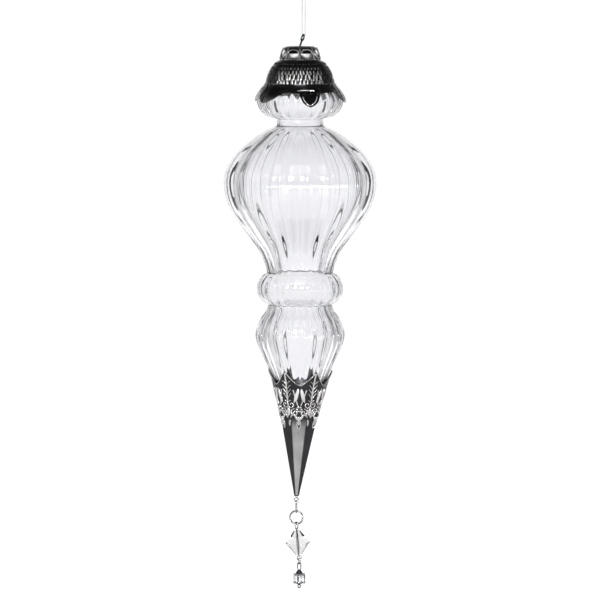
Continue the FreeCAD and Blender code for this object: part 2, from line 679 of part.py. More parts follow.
def make_skirt():
    """The ring of leaves that flares from the dome's rim over the bead of glass."""
    wall = "sizes.sheet_metal"
    # The skirt's upper edge lies on the straight lower side of the dome.
    slope = (
        "((sizes.dome_base_radius - sizes.dome_waist_radius) / (sizes.dome_height - sizes.dome_waist))"
    )
    inner_top = f"(sizes.dome_base_radius - {slope} * sizes.skirt_lap + sizes.touch_gap)"
    inner_rim = "(sizes.dome_base_radius + sizes.touch_gap)"
    tips = f"({SKIRT_TOP} - sizes.skirt_length)"
    skirt = revolved(
        "leaf_skirt",
        [
            (inner_top, SKIRT_TOP),
            (f"{inner_top} + {wall}", SKIRT_TOP),
            (f"{inner_rim} + {wall} * sizes.skirt_bead", DOME_RIM),
            (SKIRT_TIP_RADIUS, tips, "sizes.skirt_arc", LEFT),
            (f"{SKIRT_TIP_RADIUS} - {wall}", tips),
            (inner_rim, f"{DOME_RIM} - {wall} / 2", f"sizes.skirt_arc - {wall}", RIGHT),
            (inner_rim, DOME_RIM),
        ],
    )
    arch = f"({SKIRT_TOP} - sizes.skirt_arch)"
    below = f"({tips} - sizes.run_out)"
    half = "sizes.skirt_arch_width / 2"
    cut_all_round(
        skirt,
        "skirt_arch",
        "XZ_Plane",
        [
            (f"-{half}", below),
            ("0", arch, "sizes.skirt_arch_width * sizes.skirt_arch_curve", RIGHT),
            (half, below, "sizes.skirt_arch_width * sizes.skirt_arch_curve", RIGHT),
        ],
        "sizes.skirt_leaves",
    )
    turn(skirt, (0, 0, 1), "180 / sizes.skirt_leaves + sizes.skirt_turn")
    place(skirt, x=AXIS_X)
    finish(skirt, "leaf_skirt")


# ---------------------------------------------------------------------------------------------
# Blown glass
# ---------------------------------------------------------------------------------------------

WAVE_POINTS = 4  # points along each flute's wave
INNER_TIP = 2.5  # from the last section of the tail up to the end of the hollow


def flute_share(radius):
    """How deep the flutes are at a radius: none at the neck, full depth well before the bulb."""
    plain = size("neck_radius")
    full = size("lower_radius")
    return max(0.0, min(1.0, (radius - plain) / (full - plain)))


def fluted_ring(radius, height):
    """One closed section of the outside: a circle with a shallow wave for each flute."""
    flutes = int(size("glass_flutes"))
    depth = size("flute_depth") * flute_share(radius)
    points = []
    for step in range(flutes * WAVE_POINTS):
        angle = 2 * math.pi * step / (flutes * WAVE_POINTS)
        reach = radius - depth / 2 * (1 - math.cos(flutes * angle))
        points.append(Vector(reach * math.cos(angle), reach * math.sin(angle), height))
    curve = Part.BSplineCurve()
    curve.interpolate(points, PeriodicFlag=True)
    return Part.Wire([curve.toShape()])


def make_glass():
    """The blown body: a fluted outside, a plain inside, a small blow hole and a closed tail."""
    rows = glass_stations()
    outside = Part.makeLoft([fluted_ring(row.x, row.z) for row in rows], True, True)
    hole = size("glass_hole") / 2
    over = rows[0].z + size("run_out")
    hollow = [Vector(hole, 0, over), Vector(hole, 0, rows[1].z - size("glass_wall"))]
    for row in rows[3:-1]:
        inner = row.x - size("glass_wall") - size("flute_depth") * flute_share(row.x)
        hollow.append(Vector(max(inner, hole / 2), 0, row.z))
    tip = Vector(0, 0, rows[-1].z + INNER_TIP)
    top = Vector(0, 0, over)
    outline = Part.makePolygon(hollow + [tip, top, hollow[0]])
    inside = Part.Face(outline).revolve(Vector(), Vector(0, 0, 1), 360)
    glass = drawn("glass_body", outside.cut(inside))
    place(glass, x=AXIS_X)
    return finish(glass, "glass_body")


# ---------------------------------------------------------------------------------------------
# Adhesive that holds the metal to the glass
# ---------------------------------------------------------------------------------------------


BAND_STEPS = 5  # straight pieces in the side of a band


def adhesive_band(label, top, bottom, metal_radius):
    """A band from the glass out to the metal round it. metal_radius gives the metal's inside by height."""
    gap = size("touch_gap")
    heights = {top + (bottom - top) * step / BAND_STEPS for step in range(BAND_STEPS + 1)}
    heights |= {row.z for row in glass_stations() if bottom < row.z < top}
    heights = sorted(heights, reverse=True)
    glass_side = [Vector(glass_radius(height) + 2 * gap, 0, height) for height in heights]
    metal_side = [Vector(metal_radius(height) - gap, 0, height) for height in reversed(heights)]
    outline = Part.makePolygon(glass_side + metal_side + glass_side[:1])
    band = drawn(label, Part.Face(outline).revolve(Vector(), Vector(0, 0, 1), 360))
    place(band, x=AXIS_X)
    finish(band, label)


def dome_inner_radius(height):
    """The inside of the dome's straight lower side at a height."""
    run = size("dome_base_radius") - size("dome_waist_radius")
    slope = run / (size("dome_height") - size("dome_waist"))
    return size("dome_base_radius") - size("sheet_metal") - slope * (height - worked_out(DOME_RIM))


def cone_inner_radius(height):
    """The inside of the leaning cone at a height under its mouth, on whichever side comes closer."""
    depth = worked_out(MOUTH) - height
    lean = math.sin(math.radians(size("cone_lean")))
    outer = size("mouth_radius") + size("seat_gap")
    bore = size("fine_wire") / 2 + size("touch_gap")
    slope = (outer - bore) / (size("cone_length") - 2 * size("cone_wall"))
    right = outer - slope * depth - depth * lean
    left = outer - slope * (depth + outer * lean) + depth * lean
    return min(left, right)


def make_adhesive():
    """Two hidden bands: under the dome, on the shoulder of the glass, and inside the cone's mouth."""
    rim = worked_out(DOME_RIM)
    mouth = worked_out(MOUTH)
    width = size("band_width")
    adhesive_band("cap_adhesive", rim + width + size("seat_gap"), rim + size("seat_gap"), dome_inner_radius)
    start = mouth - size("cone_band_drop")
    adhesive_band("cone_adhesive", start, start - 2 * width, cone_inner_radius)


# ---------------------------------------------------------------------------------------------
# Filigree cone
# ---------------------------------------------------------------------------------------------


def make_cone():
    """The pierced cone: leaf tips that hug the glass, a mouth, and a long taper to the point."""
    wall = "sizes.cone_wall"
    outer = f"(sizes.mouth_radius + sizes.seat_gap + {wall})"
    bore = "(sizes.fine_wire / 2 + sizes.touch_gap)"
    cone = revolved(
        "cone_cap",
        [
            ("sizes.cone_leaf_radius", "sizes.cone_leaf"),
            (f"sizes.cone_leaf_radius + {wall}", "sizes.cone_leaf"),
            (outer, "0"),
            ("sizes.cone_tip_radius", "-sizes.cone_length"),
            (bore, "-sizes.cone_length"),
            (bore, f"-sizes.cone_length + 2 * {wall}"),
            (f"{outer} - {wall}", "0"),
        ],
    )
    half = "sizes.cone_notch_width / 2"
    above = "(sizes.cone_leaf + sizes.run_out)"
    cut_all_round(
        cone,
        "cone_notch",
        "XZ_Plane",
        [
            (half, above),
            ("0", "sizes.cone_leaf - sizes.cone_notch_depth", "sizes.cone_notch_width * sizes.cone_notch_curve", LEFT),
            (f"-{half}", above, "sizes.cone_notch_width * sizes.cone_notch_curve", LEFT),
        ],
        "sizes.cone_leaves",
    )
    slot = "sizes.cone_slot_width / 2"
    slot_top = "(-sizes.cone_slot_drop + sizes.cone_slot_length / 2)"
    slot_low = "(-sizes.cone_slot_drop - sizes.cone_slot_length / 2)"
    cut_all_round(
        cone,
        "cone_slot",
        "YZ_Plane",
        [
            ("0", slot_low),
            (f"-{slot}", slot_top),
            (slot, slot_top, f"{slot} * sizes.arch_roundness", LEFT),
        ],
        "sizes.cone_leaves",
    )
    turn(cone, (0, 1, 0), "sizes.cone_lean")
    place(cone, x=AXIS_X, z=MOUTH)
    finish(cone, "cone_cap")


# ---------------------------------------------------------------------------------------------
# Eye on the point, link and jump ring
# ---------------------------------------------------------------------------------------------


def make_tip_eye():
    """The wire eye under the cone's tip. Its stem goes up through the tip, on the cone's own line."""
    eye = ring(
        "tip_eye_ring",
        "sizes.tip_eye_ring",
        "sizes.fine_wire",
        z="-sizes.cone_length - sizes.tip_eye_stem - sizes.tip_eye_ring",
    )
    stem = rod(
        "tip_eye_stem",
        "sizes.fine_wire",
        "-sizes.cone_length - sizes.tip_eye_stem",
        "sizes.tip_eye_stem + sizes.tip_eye_root",
    )
    whole = fused("tip_eye_whole", [eye, stem])
    turn(whole, (0, 1, 0), "sizes.cone_lean")
    place(whole, x=AXIS_X, z=MOUTH)
    finish(whole, "tip_eye")


def make_link():
    """The oval link in the eye."""
    link = fused(
        "tip_link_whole",
        oval_loop("tip_link", "sizes.link_ring", "sizes.link_wire", "sizes.link_length", LINK_TOP),
    )
    turn(link, (0, 0, 1), "sizes.link_turn")
    place(link, x=CHAIN_X)
    finish(link, "tip_link")


def make_jump_ring():
    """The large round ring, cut at one side as wound rings are."""
    hoop = ring(
        "jump_ring_hoop",
        "sizes.jump_ring_radius",
        "sizes.jump_wire",
        z=RING_CENTRE,
        opening="sizes.jump_split",
        facing="-sizes.jump_turn",
    )
    hoop.setExpression(".Placement.Base.x", CHAIN_X)
    finish(hoop, "jump_ring")


# ---------------------------------------------------------------------------------------------
# Faceted bead on its eye pin
# ---------------------------------------------------------------------------------------------


def make_bead_pin():
    """The eye pin: an oval loop round the jump ring, a stem through the bead and a round loop below."""
    upper = fused(
        "pin_upper_loop",
        oval_loop("pin_loop", "sizes.pin_loop", "sizes.fine_wire", "sizes.pin_loop_length", PIN_TOP),
    )
    turn(upper, (0, 0, 1), "sizes.pin_turn")
    stem_low = f"({LOW_LOOP} + sizes.pin_low_loop)"
    stem = rod(
        "pin_stem",
        "sizes.fine_wire",
        stem_low,
        f"{PIN_TOP} - sizes.pin_loop_length - {stem_low}",
    )
    lower = ring("pin_lower_loop", "sizes.pin_low_loop", "sizes.fine_wire", z=LOW_LOOP)
    pin = fused("bead_pin_whole", [upper, stem, lower])
    turn(pin, (0, 1, 0), "-sizes.pin_lean")
    place(pin, x=CHAIN_X, z=PIN_PIVOT)
    finish(pin, "bead_pin")


def polygon(name, sides, radius, z):
    """A level regular polygon at a height."""
    outline = doc.addObject("Part::RegularPolygon", name)
    outline.setExpression("Polygon", sides)
    outline.setExpression("Circumradius", radius)
    place(outline, z=z)
    return outline


def make_bead():
    """The clear faceted bicone, drilled for its pin."""
    middle = f"({BEAD_TOP} - sizes.bead_height / 2)"
    levels = [
        polygon("bead_upper_end", "sizes.bead_sides", "sizes.bead_end_width / 2", BEAD_TOP),
        polygon("bead_girdle", "sizes.bead_sides", "sizes.bead_width / 2", middle),
        polygon(
            "bead_lower_end",
            "sizes.bead_sides",
            "sizes.bead_end_width / 2",
            f"{BEAD_TOP} - sizes.bead_height",
        ),
    ]
    bicone = doc.addObject("Part::Loft", "bead_bicone")
    bicone.Sections = levels
    bicone.Solid = True
    bicone.Ruled = True
    drill = primitive(
        "Cylinder",
        "bead_drill",
        at=("0", "0", f"{BEAD_TOP} - sizes.bead_height - sizes.run_out"),
        Radius="sizes.fine_wire / 2 + sizes.shank_gap",
        Height="sizes.bead_height + 2 * sizes.run_out",
    )
    bead = cut("faceted_bead_whole", bicone, drill)
    turn(bead, (0, 1, 0), "-sizes.pin_lean")
    place(bead, x=CHAIN_X, z=PIN_PIVOT)
    finish(bead, "faceted_bead")


# ---------------------------------------------------------------------------------------------
# Stone-set charm on its ring
# ---------------------------------------------------------------------------------------------


def make_charm_ring():
    """The small ring between the pin and the charm."""
    hoop = ring(
        "charm_ring_hoop",
        "sizes.charm_ring_radius",
        "sizes.link_wire",
        z=CHARM_RING_CENTRE,
        facing="sizes.charm_ring_turn",
    )
    hoop.setExpression(".Placement.Base.x", CHARM_X)
    finish(hoop, "charm_ring")


def side_of(name, shape, quarter):
    """One of four copies round Z."""
    copy = doc.addObject("Part::Feature", name)
    copy.Shape = shape
    copy.Placement = Placement(Vector(), Rotation(Vector(0, 0, 1), 90 * quarter))
    return copy


def make_charm():
    """A square setting with a stone in each side, hung by an upper loop, with an empty loop below."""
    box = primitive(
        "Box",
        "charm_block",
        at=("-sizes.charm_side / 2", "-sizes.charm_side / 2", BOX_BOTTOM),
        Length="sizes.charm_side",
        Width="sizes.charm_side",
        Height="sizes.charm_box",
    )
    gap = size("touch_gap")
    half, width, height = size("charm_side") / 2, size("stone_width"), size("stone_height")
    seat_low = worked_out(BOX_BOTTOM) + (size("charm_box") - height) / 2
    seat = Part.makeBox(
        width + 2 * gap,
        size("stone_seat") + gap + size("run_out"),
        height + 2 * gap,
        Vector(-width / 2 - gap, -half - size("run_out"), seat_low - gap),
    )
    stone = Part.makeBox(
        width,
        size("stone_seat") + size("stone_rise"),
        height,
        Vector(-width / 2, -half - size("stone_rise"), seat_low),
    )
    face = [
        rim
        for rim in stone.Edges
        if all(abs(corner.Point.y + half + size("stone_rise")) < gap for corner in rim.Vertexes)
    ]
    stone = stone.makeChamfer(size("stone_bevel"), face)
    seats = [side_of(f"charm_seat_{quarter}", seat, quarter) for quarter in range(4)]
    frame = cut("charm_frame", box, fused("charm_seats", seats))

    cap = primitive(
        "Cone",
        "charm_cap",
        at=("0", "0", BOX_TOP),
        Radius1="sizes.charm_cap_radius",
        Radius2="sizes.charm_neck_radius",
        Height="sizes.charm_cap",
    )
    foot = primitive(
        "Cone",
        "charm_foot",
        at=("0", "0", FOOT_BOTTOM),
        Radius1="sizes.charm_neck_radius",
        Radius2="sizes.charm_cap_radius",
        Height="sizes.charm_base",
    )
    lower = ring("charm_lower_loop", "sizes.charm_low_loop", "sizes.link_wire", z=CHARM_LOW_LOOP)
    body = fused("charm_turned", [frame, cap, foot, lower])
    turn(body, (0, 0, 1), "sizes.charm_turn")
    upper = oval_loop(
        "charm_loop", "sizes.charm_loop", "sizes.link_wire", "sizes.charm_loop_length", CHARM_TOP
    )
    whole = fused("charm_setting_whole", [body] + upper)
    place(whole, x=CHARM_X, z=CHARM_PIVOT)
    finish(whole, "charm_setting")

    stones = Part.makeCompound([side_turned(stone, quarter) for quarter in range(4)])
    stones_piece = drawn("charm_stones", stones)
    turn(stones_piece, (0, 0, 1), "sizes.charm_turn")
    place(stones_piece, x=CHARM_X, z=CHARM_PIVOT)
    finish(stones_piece, "charm_stones")


def side_turned(shape, quarter):
    """A copy of a shape, turned by quarter turns round Z."""
    copy = shape.copy()
    copy.rotate(Vector(), Vector(0, 0, 1), 90 * quarter)
    return copy


# ---------------------------------------------------------------------------------------------
# Build, check and write
# ---------------------------------------------------------------------------------------------

make_thread()
make_knot()
make_hanger()
make_crown()
make_dome()
make_skirt()
make_glass()
make_adhesive()
make_cone()
make_tip_eye()
make_link()
make_jump_ring()
make_bead_pin()
make_bead()
make_charm_ring()
make_charm()
doc.recompute()

for item in doc.Objects:
    if "Invalid" in item.State or "Error" in item.State:
        raise RuntimeError(f"{item.Label} could not be built: {item.State}")
for piece in finished:
    if piece.Shape.isNull() or not piece.Shape.isValid():
        raise RuntimeError(f"{piece.Label} has no valid shape")

os.makedirs("parts", exist_ok=True)
for piece in finished:
    piece.Shape.exportStep(f"parts/{piece.Label}.step")
    box = piece.Shape.BoundBox
    print(f"{piece.Label}: {len(piece.Shape.Solids)} solid(s), {piece.Shape.Volume:.1f} mm3,"
          f" z {box.ZMin:.2f} to {box.ZMax:.2f}, x {box.XMin:.2f} to {box.XMax:.2f}")
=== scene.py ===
"""Looks of the icicle hanging ornament: fluted glass, stamped cap, filigree cone, chain, bead and charm."""

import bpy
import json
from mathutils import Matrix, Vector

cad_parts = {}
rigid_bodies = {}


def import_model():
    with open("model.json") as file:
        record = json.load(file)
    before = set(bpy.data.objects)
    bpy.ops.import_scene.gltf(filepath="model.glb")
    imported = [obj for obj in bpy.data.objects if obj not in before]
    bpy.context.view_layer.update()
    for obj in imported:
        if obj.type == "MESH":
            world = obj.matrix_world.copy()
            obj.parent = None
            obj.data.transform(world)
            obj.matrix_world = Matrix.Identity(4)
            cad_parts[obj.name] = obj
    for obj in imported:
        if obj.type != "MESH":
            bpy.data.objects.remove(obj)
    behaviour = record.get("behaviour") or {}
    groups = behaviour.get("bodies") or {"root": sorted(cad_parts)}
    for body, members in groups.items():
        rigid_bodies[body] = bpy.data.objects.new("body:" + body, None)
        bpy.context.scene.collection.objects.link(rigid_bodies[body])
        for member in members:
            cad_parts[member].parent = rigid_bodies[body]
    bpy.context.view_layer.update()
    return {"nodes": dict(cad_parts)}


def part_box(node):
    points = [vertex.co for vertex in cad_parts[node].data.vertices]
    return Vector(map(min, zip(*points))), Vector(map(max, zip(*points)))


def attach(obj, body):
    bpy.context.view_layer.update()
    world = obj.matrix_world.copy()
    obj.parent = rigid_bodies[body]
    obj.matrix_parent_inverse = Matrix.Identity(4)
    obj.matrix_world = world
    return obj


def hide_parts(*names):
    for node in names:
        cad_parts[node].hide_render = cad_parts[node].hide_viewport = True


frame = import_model()

import json
import logging
import math
import random
from dataclasses import dataclass, field
from enum import Enum
from typing import Callable, Optional, Sequence, Union

import bpy
from mathutils import Matrix, Vector

LOG = logging.getLogger("ornament")
MM = 0.001
SEED = 7
WIRE_ROUNDNESS = 5

Colour = tuple[float, float, float]
Outline = list[tuple[float, float]]
Number = Union[float, "Value"]


# ------------------------------------------------------------------------------------------------
# Shader building
# ------------------------------------------------------------------------------------------------


class Value:
    """A shader socket that can be used in arithmetic."""

    def __init__(self, nodes: "Nodes", socket: bpy.types.NodeSocket) -> None:
        """Wrap a socket of a node tree."""
        self.nodes = nodes
        self.socket = socket

    def _maths(self, operation: str, first: Number, second: Number) -> "Value":
        """Add one Math node and return its result."""
        return self.nodes.add("ShaderNodeMath", {"operation": operation}, {0: first, 1: second})

    def __add__(self, other: Number) -> "Value":
        """Sum of two values."""
        return self._maths("ADD", self, other)

    __radd__ = __add__

    def __sub__(self, other: Number) -> "Value":
        """Difference of two values."""
        return self._maths("SUBTRACT", self, other)

    def __mul__(self, other: Number) -> "Value":
        """Product of two values."""
        return self._maths("MULTIPLY", self, other)

    __rmul__ = __mul__


class Nodes:
    """The node tree of one material, with a single way to add a node."""

    def __init__(self, tree: bpy.types.NodeTree) -> None:
        """Take a node tree and empty it."""
        self.tree = tree
        tree.nodes.clear()

    def add(
        self,
        kind: str,
        settings: Optional[dict] = None,
        inputs: Optional[dict] = None,
        output: Union[int, str] = 0,
    ) -> Value:
        """Add a node of any type.

        Args:
            kind: The node's type name.
            settings: Properties set before the sockets; "stops" fills a ramp with (place, colour) pairs.
            inputs: Numbers, colours or values by socket name or number.
            output: The socket that the result comes from.

        Returns:
            The node's output as a value.
        """
        node = self.tree.nodes.new(kind)
        for name, setting in (settings or {}).items():
            if name == "stops":
                self._fill_ramp(node.color_ramp, setting)
            else:
                setattr(node, name, setting)
        for name, given in (inputs or {}).items():
            if isinstance(given, Value):
                self.tree.links.new(given.socket, node.inputs[name])
            else:
                node.inputs[name].default_value = given
        return Value(self, node.outputs[output]) if node.outputs else Value(self, node.inputs[0])

    @staticmethod
    def _fill_ramp(ramp: bpy.types.ColorRamp, stops: Sequence[tuple[float, Colour]]) -> None:
        """Give a colour ramp its stops."""
        while len(ramp.elements) < len(stops):
            ramp.elements.new(1.0)
        for element, (place, colour) in zip(ramp.elements, stops):
            element.position = place
            element.color = (*colour, 1.0)

    def noise(self, scale: float, detail: float = 3.0, stretch: Sequence[float] = (1, 1, 1)) -> Value:
        """Noise over the object's own coordinates, in cells per metre."""
        coordinates = self.add("ShaderNodeTexCoord", output="Object")
        placed = self.add("ShaderNodeMapping", inputs={"Vector": coordinates, "Scale": tuple(stretch)})
        return self.add("ShaderNodeTexNoise", inputs={"Vector": placed, "Scale": scale, "Detail": detail})

    def ramp(self, factor: Value, stops: Sequence[tuple[float, Colour]]) -> Value:
        """A colour that follows a factor."""
        return self.add("ShaderNodeValToRGB", {"stops": stops}, {"Fac": factor})

    def blend(self, factor: Number, first: Union[Colour, Value], second: Union[Colour, Value]) -> Value:
        """A colour between two colours."""
        colours = [c if isinstance(c, Value) else (*c, 1.0) for c in (first, second)]
        return self.add(
            "ShaderNodeMix", {"data_type": "RGBA"}, {0: factor, 6: colours[0], 7: colours[1]}, output=2
        )

    def bump(self, height: Value, distance: float) -> Value:
        """A normal roughened by a height at full strength, over a distance in metres."""
        return self.add("ShaderNodeBump", inputs={"Height": height, "Distance": distance, "Strength": 1.0})


def new_material(name: str) -> tuple[bpy.types.Material, Nodes]:
    """A material with an empty node tree."""
    material = bpy.data.materials.new(name)
    material.use_nodes = True
    return material, Nodes(material.node_tree)


def close_surface(nodes: Nodes, **inputs: object) -> None:
    """End a material with a Principled surface.

    Args:
        nodes: The material's tree.
        inputs: Principled sockets, with underscores for the spaces in their names.
    """
    sockets = {name.replace("_", " "): given for name, given in inputs.items()}
    surface = nodes.add("ShaderNodeBsdfPrincipled", inputs=sockets)
    nodes.add("ShaderNodeOutputMaterial", inputs={"Surface": surface})


# ------------------------------------------------------------------------------------------------
# Finishes
# ------------------------------------------------------------------------------------------------


@dataclass(frozen=True)
class PlatedMetal:
    """Plated metal whose raised work is worn brighter than its ground; on some pieces the bright colour
    stands for painted highlights and painted reflections, and the dark ground for painted shade.
    """

    name: str
    ground: Colour
    worn: Colour
    roughness: float
    grain: float = 900.0
    bump: float = 0.02 * MM

    def material(self) -> bpy.types.Material:
        """Build the material. It reads the piece's attribute of wear and painted light, which is 0 where
        there is none.
        """
        material, nodes = new_material(self.name)
        wear_and_light = nodes.add("ShaderNodeAttribute", {"attribute_name": "wear_and_light"}, output="Fac")
        fine = nodes.noise(self.grain, detail=6.0)
        cloud = nodes.noise(self.grain / 6)
        # Wear, and on some pieces painted highlight, painted reflection and painted shade, blended into the
        # colour.
        wear = wear_and_light * (0.55 + 0.9 * cloud)
        tone = nodes.ramp(cloud, [(0.3, self.ground), (0.75, tuple(min(1.0, 1.5 * c) for c in self.ground))])
        close_surface(
            nodes,
            Base_Color=nodes.blend(wear, tone, self.worn),
            Metallic=1.0,
            Roughness=self.roughness + 0.14 * fine - 0.07,
            Normal=nodes.bump(fine, self.bump),
        )
        return material


@dataclass(frozen=True)
class ClearGlass:
    """Clear glass with a faint tint and the slight waviness of its making."""

    name: str
    tint: Colour
    ior: float
    roughness: float = 0.0
    wave: float = 0.03 * MM
    wave_scale: float = 90.0

    def material(self) -> bpy.types.Material:
        """Build the material."""
        material, nodes = new_material(self.name)
        wave = nodes.noise(self.wave_scale, detail=2.0, stretch=(1, 1, 0.35))
        close_surface(
            nodes,
            Base_Color=(*self.tint, 1.0),
            Roughness=self.roughness,
            IOR=self.ior,
            Transmission_Weight=1.0,
            Normal=nodes.bump(wave, self.wave),
        )
        return material


@dataclass(frozen=True)
class NylonLine:
    """Drawn clear nylon with faint lengthwise haze."""

    name: str = "clear_nylon"
    colour: Colour = (0.72, 0.73, 0.74)

    def material(self) -> bpy.types.Material:
        """Build the material."""
        material, nodes = new_material(self.name)
        haze = nodes.noise(2500.0, stretch=(1, 1, 0.1))
        close_surface(
            nodes,
            Base_Color=nodes.blend(haze, self.colour, (0.5, 0.51, 0.53)),
            Roughness=0.12 + 0.2 * haze,
            IOR=1.53,
            Transmission_Weight=0.75,
        )
        return material


@dataclass(frozen=True)
class FoiledStone:
    """A white crystal with a foil behind it, so that it gives its light back."""

    name: str = "foiled_stone"
    colour: Colour = (0.7, 0.71, 0.74)

    def material(self) -> bpy.types.Material:
        """Build the material."""
        material, nodes = new_material(self.name)
        facets = nodes.add(
            "ShaderNodeTexVoronoi",
            inputs={"Vector": nodes.add("ShaderNodeTexCoord", output="Object"), "Scale": 1400.0},
            output="Color",
        )
        # Painted sparkle: random facets are painted dark and bright into the stone's colour, as painted
        # glints and painted dark reflections.
        sparkle = nodes.ramp(facets, [(0.3, (0.12, 0.13, 0.16)), (0.75, (0.95, 0.95, 0.96))])
        close_surface(
            nodes,
            Base_Color=nodes.blend(0.75, self.colour, sparkle),
            Metallic=0.35,
            Roughness=0.06,
            Coat_Weight=1.0,
            Coat_Roughness=0.02,
            Coat_IOR=1.6,
        )
        return material


@dataclass(frozen=True)
class SetAdhesive:
    """Clear adhesive that has set slightly milky, with small bubbles."""

    name: str = "set_adhesive"

    def material(self) -> bpy.types.Material:
        """Build the material."""
        material, nodes = new_material(self.name)
        bubbles = nodes.noise(1200.0)
        close_surface(
            nodes,
            Base_Color=nodes.blend(bubbles, (0.8, 0.8, 0.78), (0.62, 0.62, 0.6)),
            Roughness=0.45 + 0.2 * bubbles,
            IOR=1.5,
            Transmission_Weight=0.4,
            Normal=nodes.bump(bubbles, 0.1 * MM),
        )
        return material


class Finish(Enum):
    """Every finish of the ornament."""

    # Its bright colour is also the painted highlight on the dome's scales and on the cone's facets.
    GUNMETAL = PlatedMetal("antique_gunmetal", (0.022, 0.022, 0.024), (0.68, 0.67, 0.67), 0.17)
    DARK_WIRE = PlatedMetal("dark_wire_plating", (0.09, 0.09, 0.095), (0.5, 0.5, 0.5), 0.16)
    CHAIN_SILVER = PlatedMetal("chain_silver", (0.26, 0.26, 0.265), (0.85, 0.85, 0.86), 0.13)
    BLOWN_GLASS = ClearGlass("blown_glass", (0.925, 0.925, 0.945), 1.5)
    CUT_CRYSTAL = ClearGlass("cut_crystal", (0.8, 0.79, 0.795), 1.2, wave=0.0)
    # Painted light inside the crown: the dark ground is painted shade and the bright colour a painted
    # reflection.
    CROWN_WELL = PlatedMetal("crown_well_painted_light", (0.03, 0.03, 0.032), (0.95, 0.94, 0.93), 0.5)
    CHARM_SILVER = PlatedMetal("charm_silver", (0.1, 0.1, 0.105), (0.6, 0.6, 0.61), 0.2)
    NYLON = NylonLine()
    STONE = FoiledStone()
    ADHESIVE = SetAdhesive()


MADE: dict[Finish, bpy.types.Material] = {}


def finish_material(finish: Finish) -> bpy.types.Material:
    """The material of a finish, made once."""
    if finish not in MADE:
        MADE[finish] = finish.value.material()
    return MADE[finish]


# ------------------------------------------------------------------------------------------------
# Mesh building
# ------------------------------------------------------------------------------------------------


def deselect_all() -> None:
    """Leave nothing selected, so that an operator acts only on the new piece."""
    for item in bpy.context.view_layer.objects:
        item.select_set(False)


def take_up(piece: bpy.types.Object) -> bpy.types.Object:
    """Select one piece alone and make it active."""
    deselect_all()
    piece.select_set(True)
    bpy.context.view_layer.objects.active = piece
    return piece


def cleaned(piece: bpy.types.Object, merge: float = 0.001 * MM) -> bpy.types.Object:
    """Merge a piece's doubled points and turn its faces outwards."""
    take_up(piece)
    bpy.ops.object.mode_set(mode="EDIT")
    bpy.ops.mesh.select_all(action="SELECT")
    bpy.ops.mesh.remove_doubles(threshold=merge)
    bpy.ops.mesh.normals_make_consistent(inside=False)
    bpy.ops.object.mode_set(mode="OBJECT")
    return piece


def smoothed(piece: bpy.types.Object, degrees: float) -> bpy.types.Object:
    """Shade a piece smooth where its faces meet at less than an angle."""
    take_up(piece)
    bpy.ops.object.shade_smooth_by_angle(angle=math.radians(degrees))
    return piece


def modified(piece: bpy.types.Object, kind: str, **settings: object) -> bpy.types.Object:
    """Add a modifier to a piece and apply it."""
    take_up(piece)
    modifier = piece.modifiers.new(kind.lower(), kind)
    for name, setting in settings.items():
        setattr(modifier, name, setting)
    bpy.ops.object.modifier_apply(modifier=modifier.name)
    return piece


def joined(name: str, members: Sequence[bpy.types.Object]) -> bpy.types.Object:
    """Several meshes made one piece."""
    take_up(members[0])
    for member in members:
        member.select_set(True)
    bpy.ops.object.join()
    members[0].name = name
    members[0].data.name = name
    return members[0]


def copied(piece: bpy.types.Object, matrix: Matrix) -> bpy.types.Object:
    """A copy of a piece with its own mesh, moved by a matrix."""
    twin = piece.copy()
    twin.data = piece.data.copy()
    twin.data.transform(matrix)
    bpy.context.scene.collection.objects.link(twin)
    return twin


def discard(piece: bpy.types.Object) -> None:
    """Remove a pattern piece that has been copied."""
    bpy.data.objects.remove(piece)


def about_z(degrees: float) -> Matrix:
    """A turn about the vertical axis."""
    return Matrix.Rotation(math.radians(degrees), 4, "Z")


def along_curve(before: float, start: float, stop: float, after: float, share: float) -> float:
    """One coordinate of a Catmull-Rom curve, a share of the way from its second station to its third."""
    slope = stop - before
    bend = 2 * before - 5 * start + 4 * stop - after
    twist = 3 * start - before - 3 * stop + after
    return 0.5 * (2 * start + slope * share + bend * share**2 + twist * share**3)


def smooth_outline(points: Outline, steps: int) -> Outline:
    """Points along a Catmull-Rom curve through a few stations.

    Args:
        points: The stations, as (radius, height).
        steps: How many pieces each stretch is divided into.

    Returns:
        The finer outline, with the stations in it.
    """
    padded = [points[0], *points, points[-1]]
    finer: Outline = []
    for stations in zip(padded, padded[1:], padded[2:], padded[3:]):
        for step in range(steps):
            finer.append(tuple(along_curve(*four, step / steps) for four in zip(*stations)))
    finer.append(points[-1])
    return finer


def spun(name: str, outline: Outline, steps: int, weights: Sequence[float] = ()) -> bpy.types.Object:
    """A shell turned about the vertical axis from an outline whose last point joins its first.

    Args:
        name: The piece's name.
        outline: Points as (radius, height).
        steps: How many pieces the full turn is divided into.
        weights: A share for each point, carried round as a vertex group.

    Returns:
        The turned piece, with its faces outwards.
    """
    mesh = bpy.data.meshes.new(name)
    edges = [(n, n + 1) for n in range(len(outline) - 1)] + [(len(outline) - 1, 0)]
    mesh.from_pydata([(radius, 0.0, height) for radius, height in outline], edges, [])
    piece = bpy.data.objects.new(name, mesh)
    bpy.context.scene.collection.objects.link(piece)
    if weights:
        group = piece.vertex_groups.new(name="share")
        for number, weight in enumerate(weights):
            group.add([number], weight, "REPLACE")
    take_up(piece)
    bpy.ops.object.mode_set(mode="EDIT")
    bpy.ops.mesh.select_all(action="SELECT")
    bpy.ops.mesh.spin(steps=steps, angle=2 * math.pi, center=(0, 0, 0), axis=(0, 0, 1))
    bpy.ops.object.mode_set(mode="OBJECT")
    return cleaned(piece)


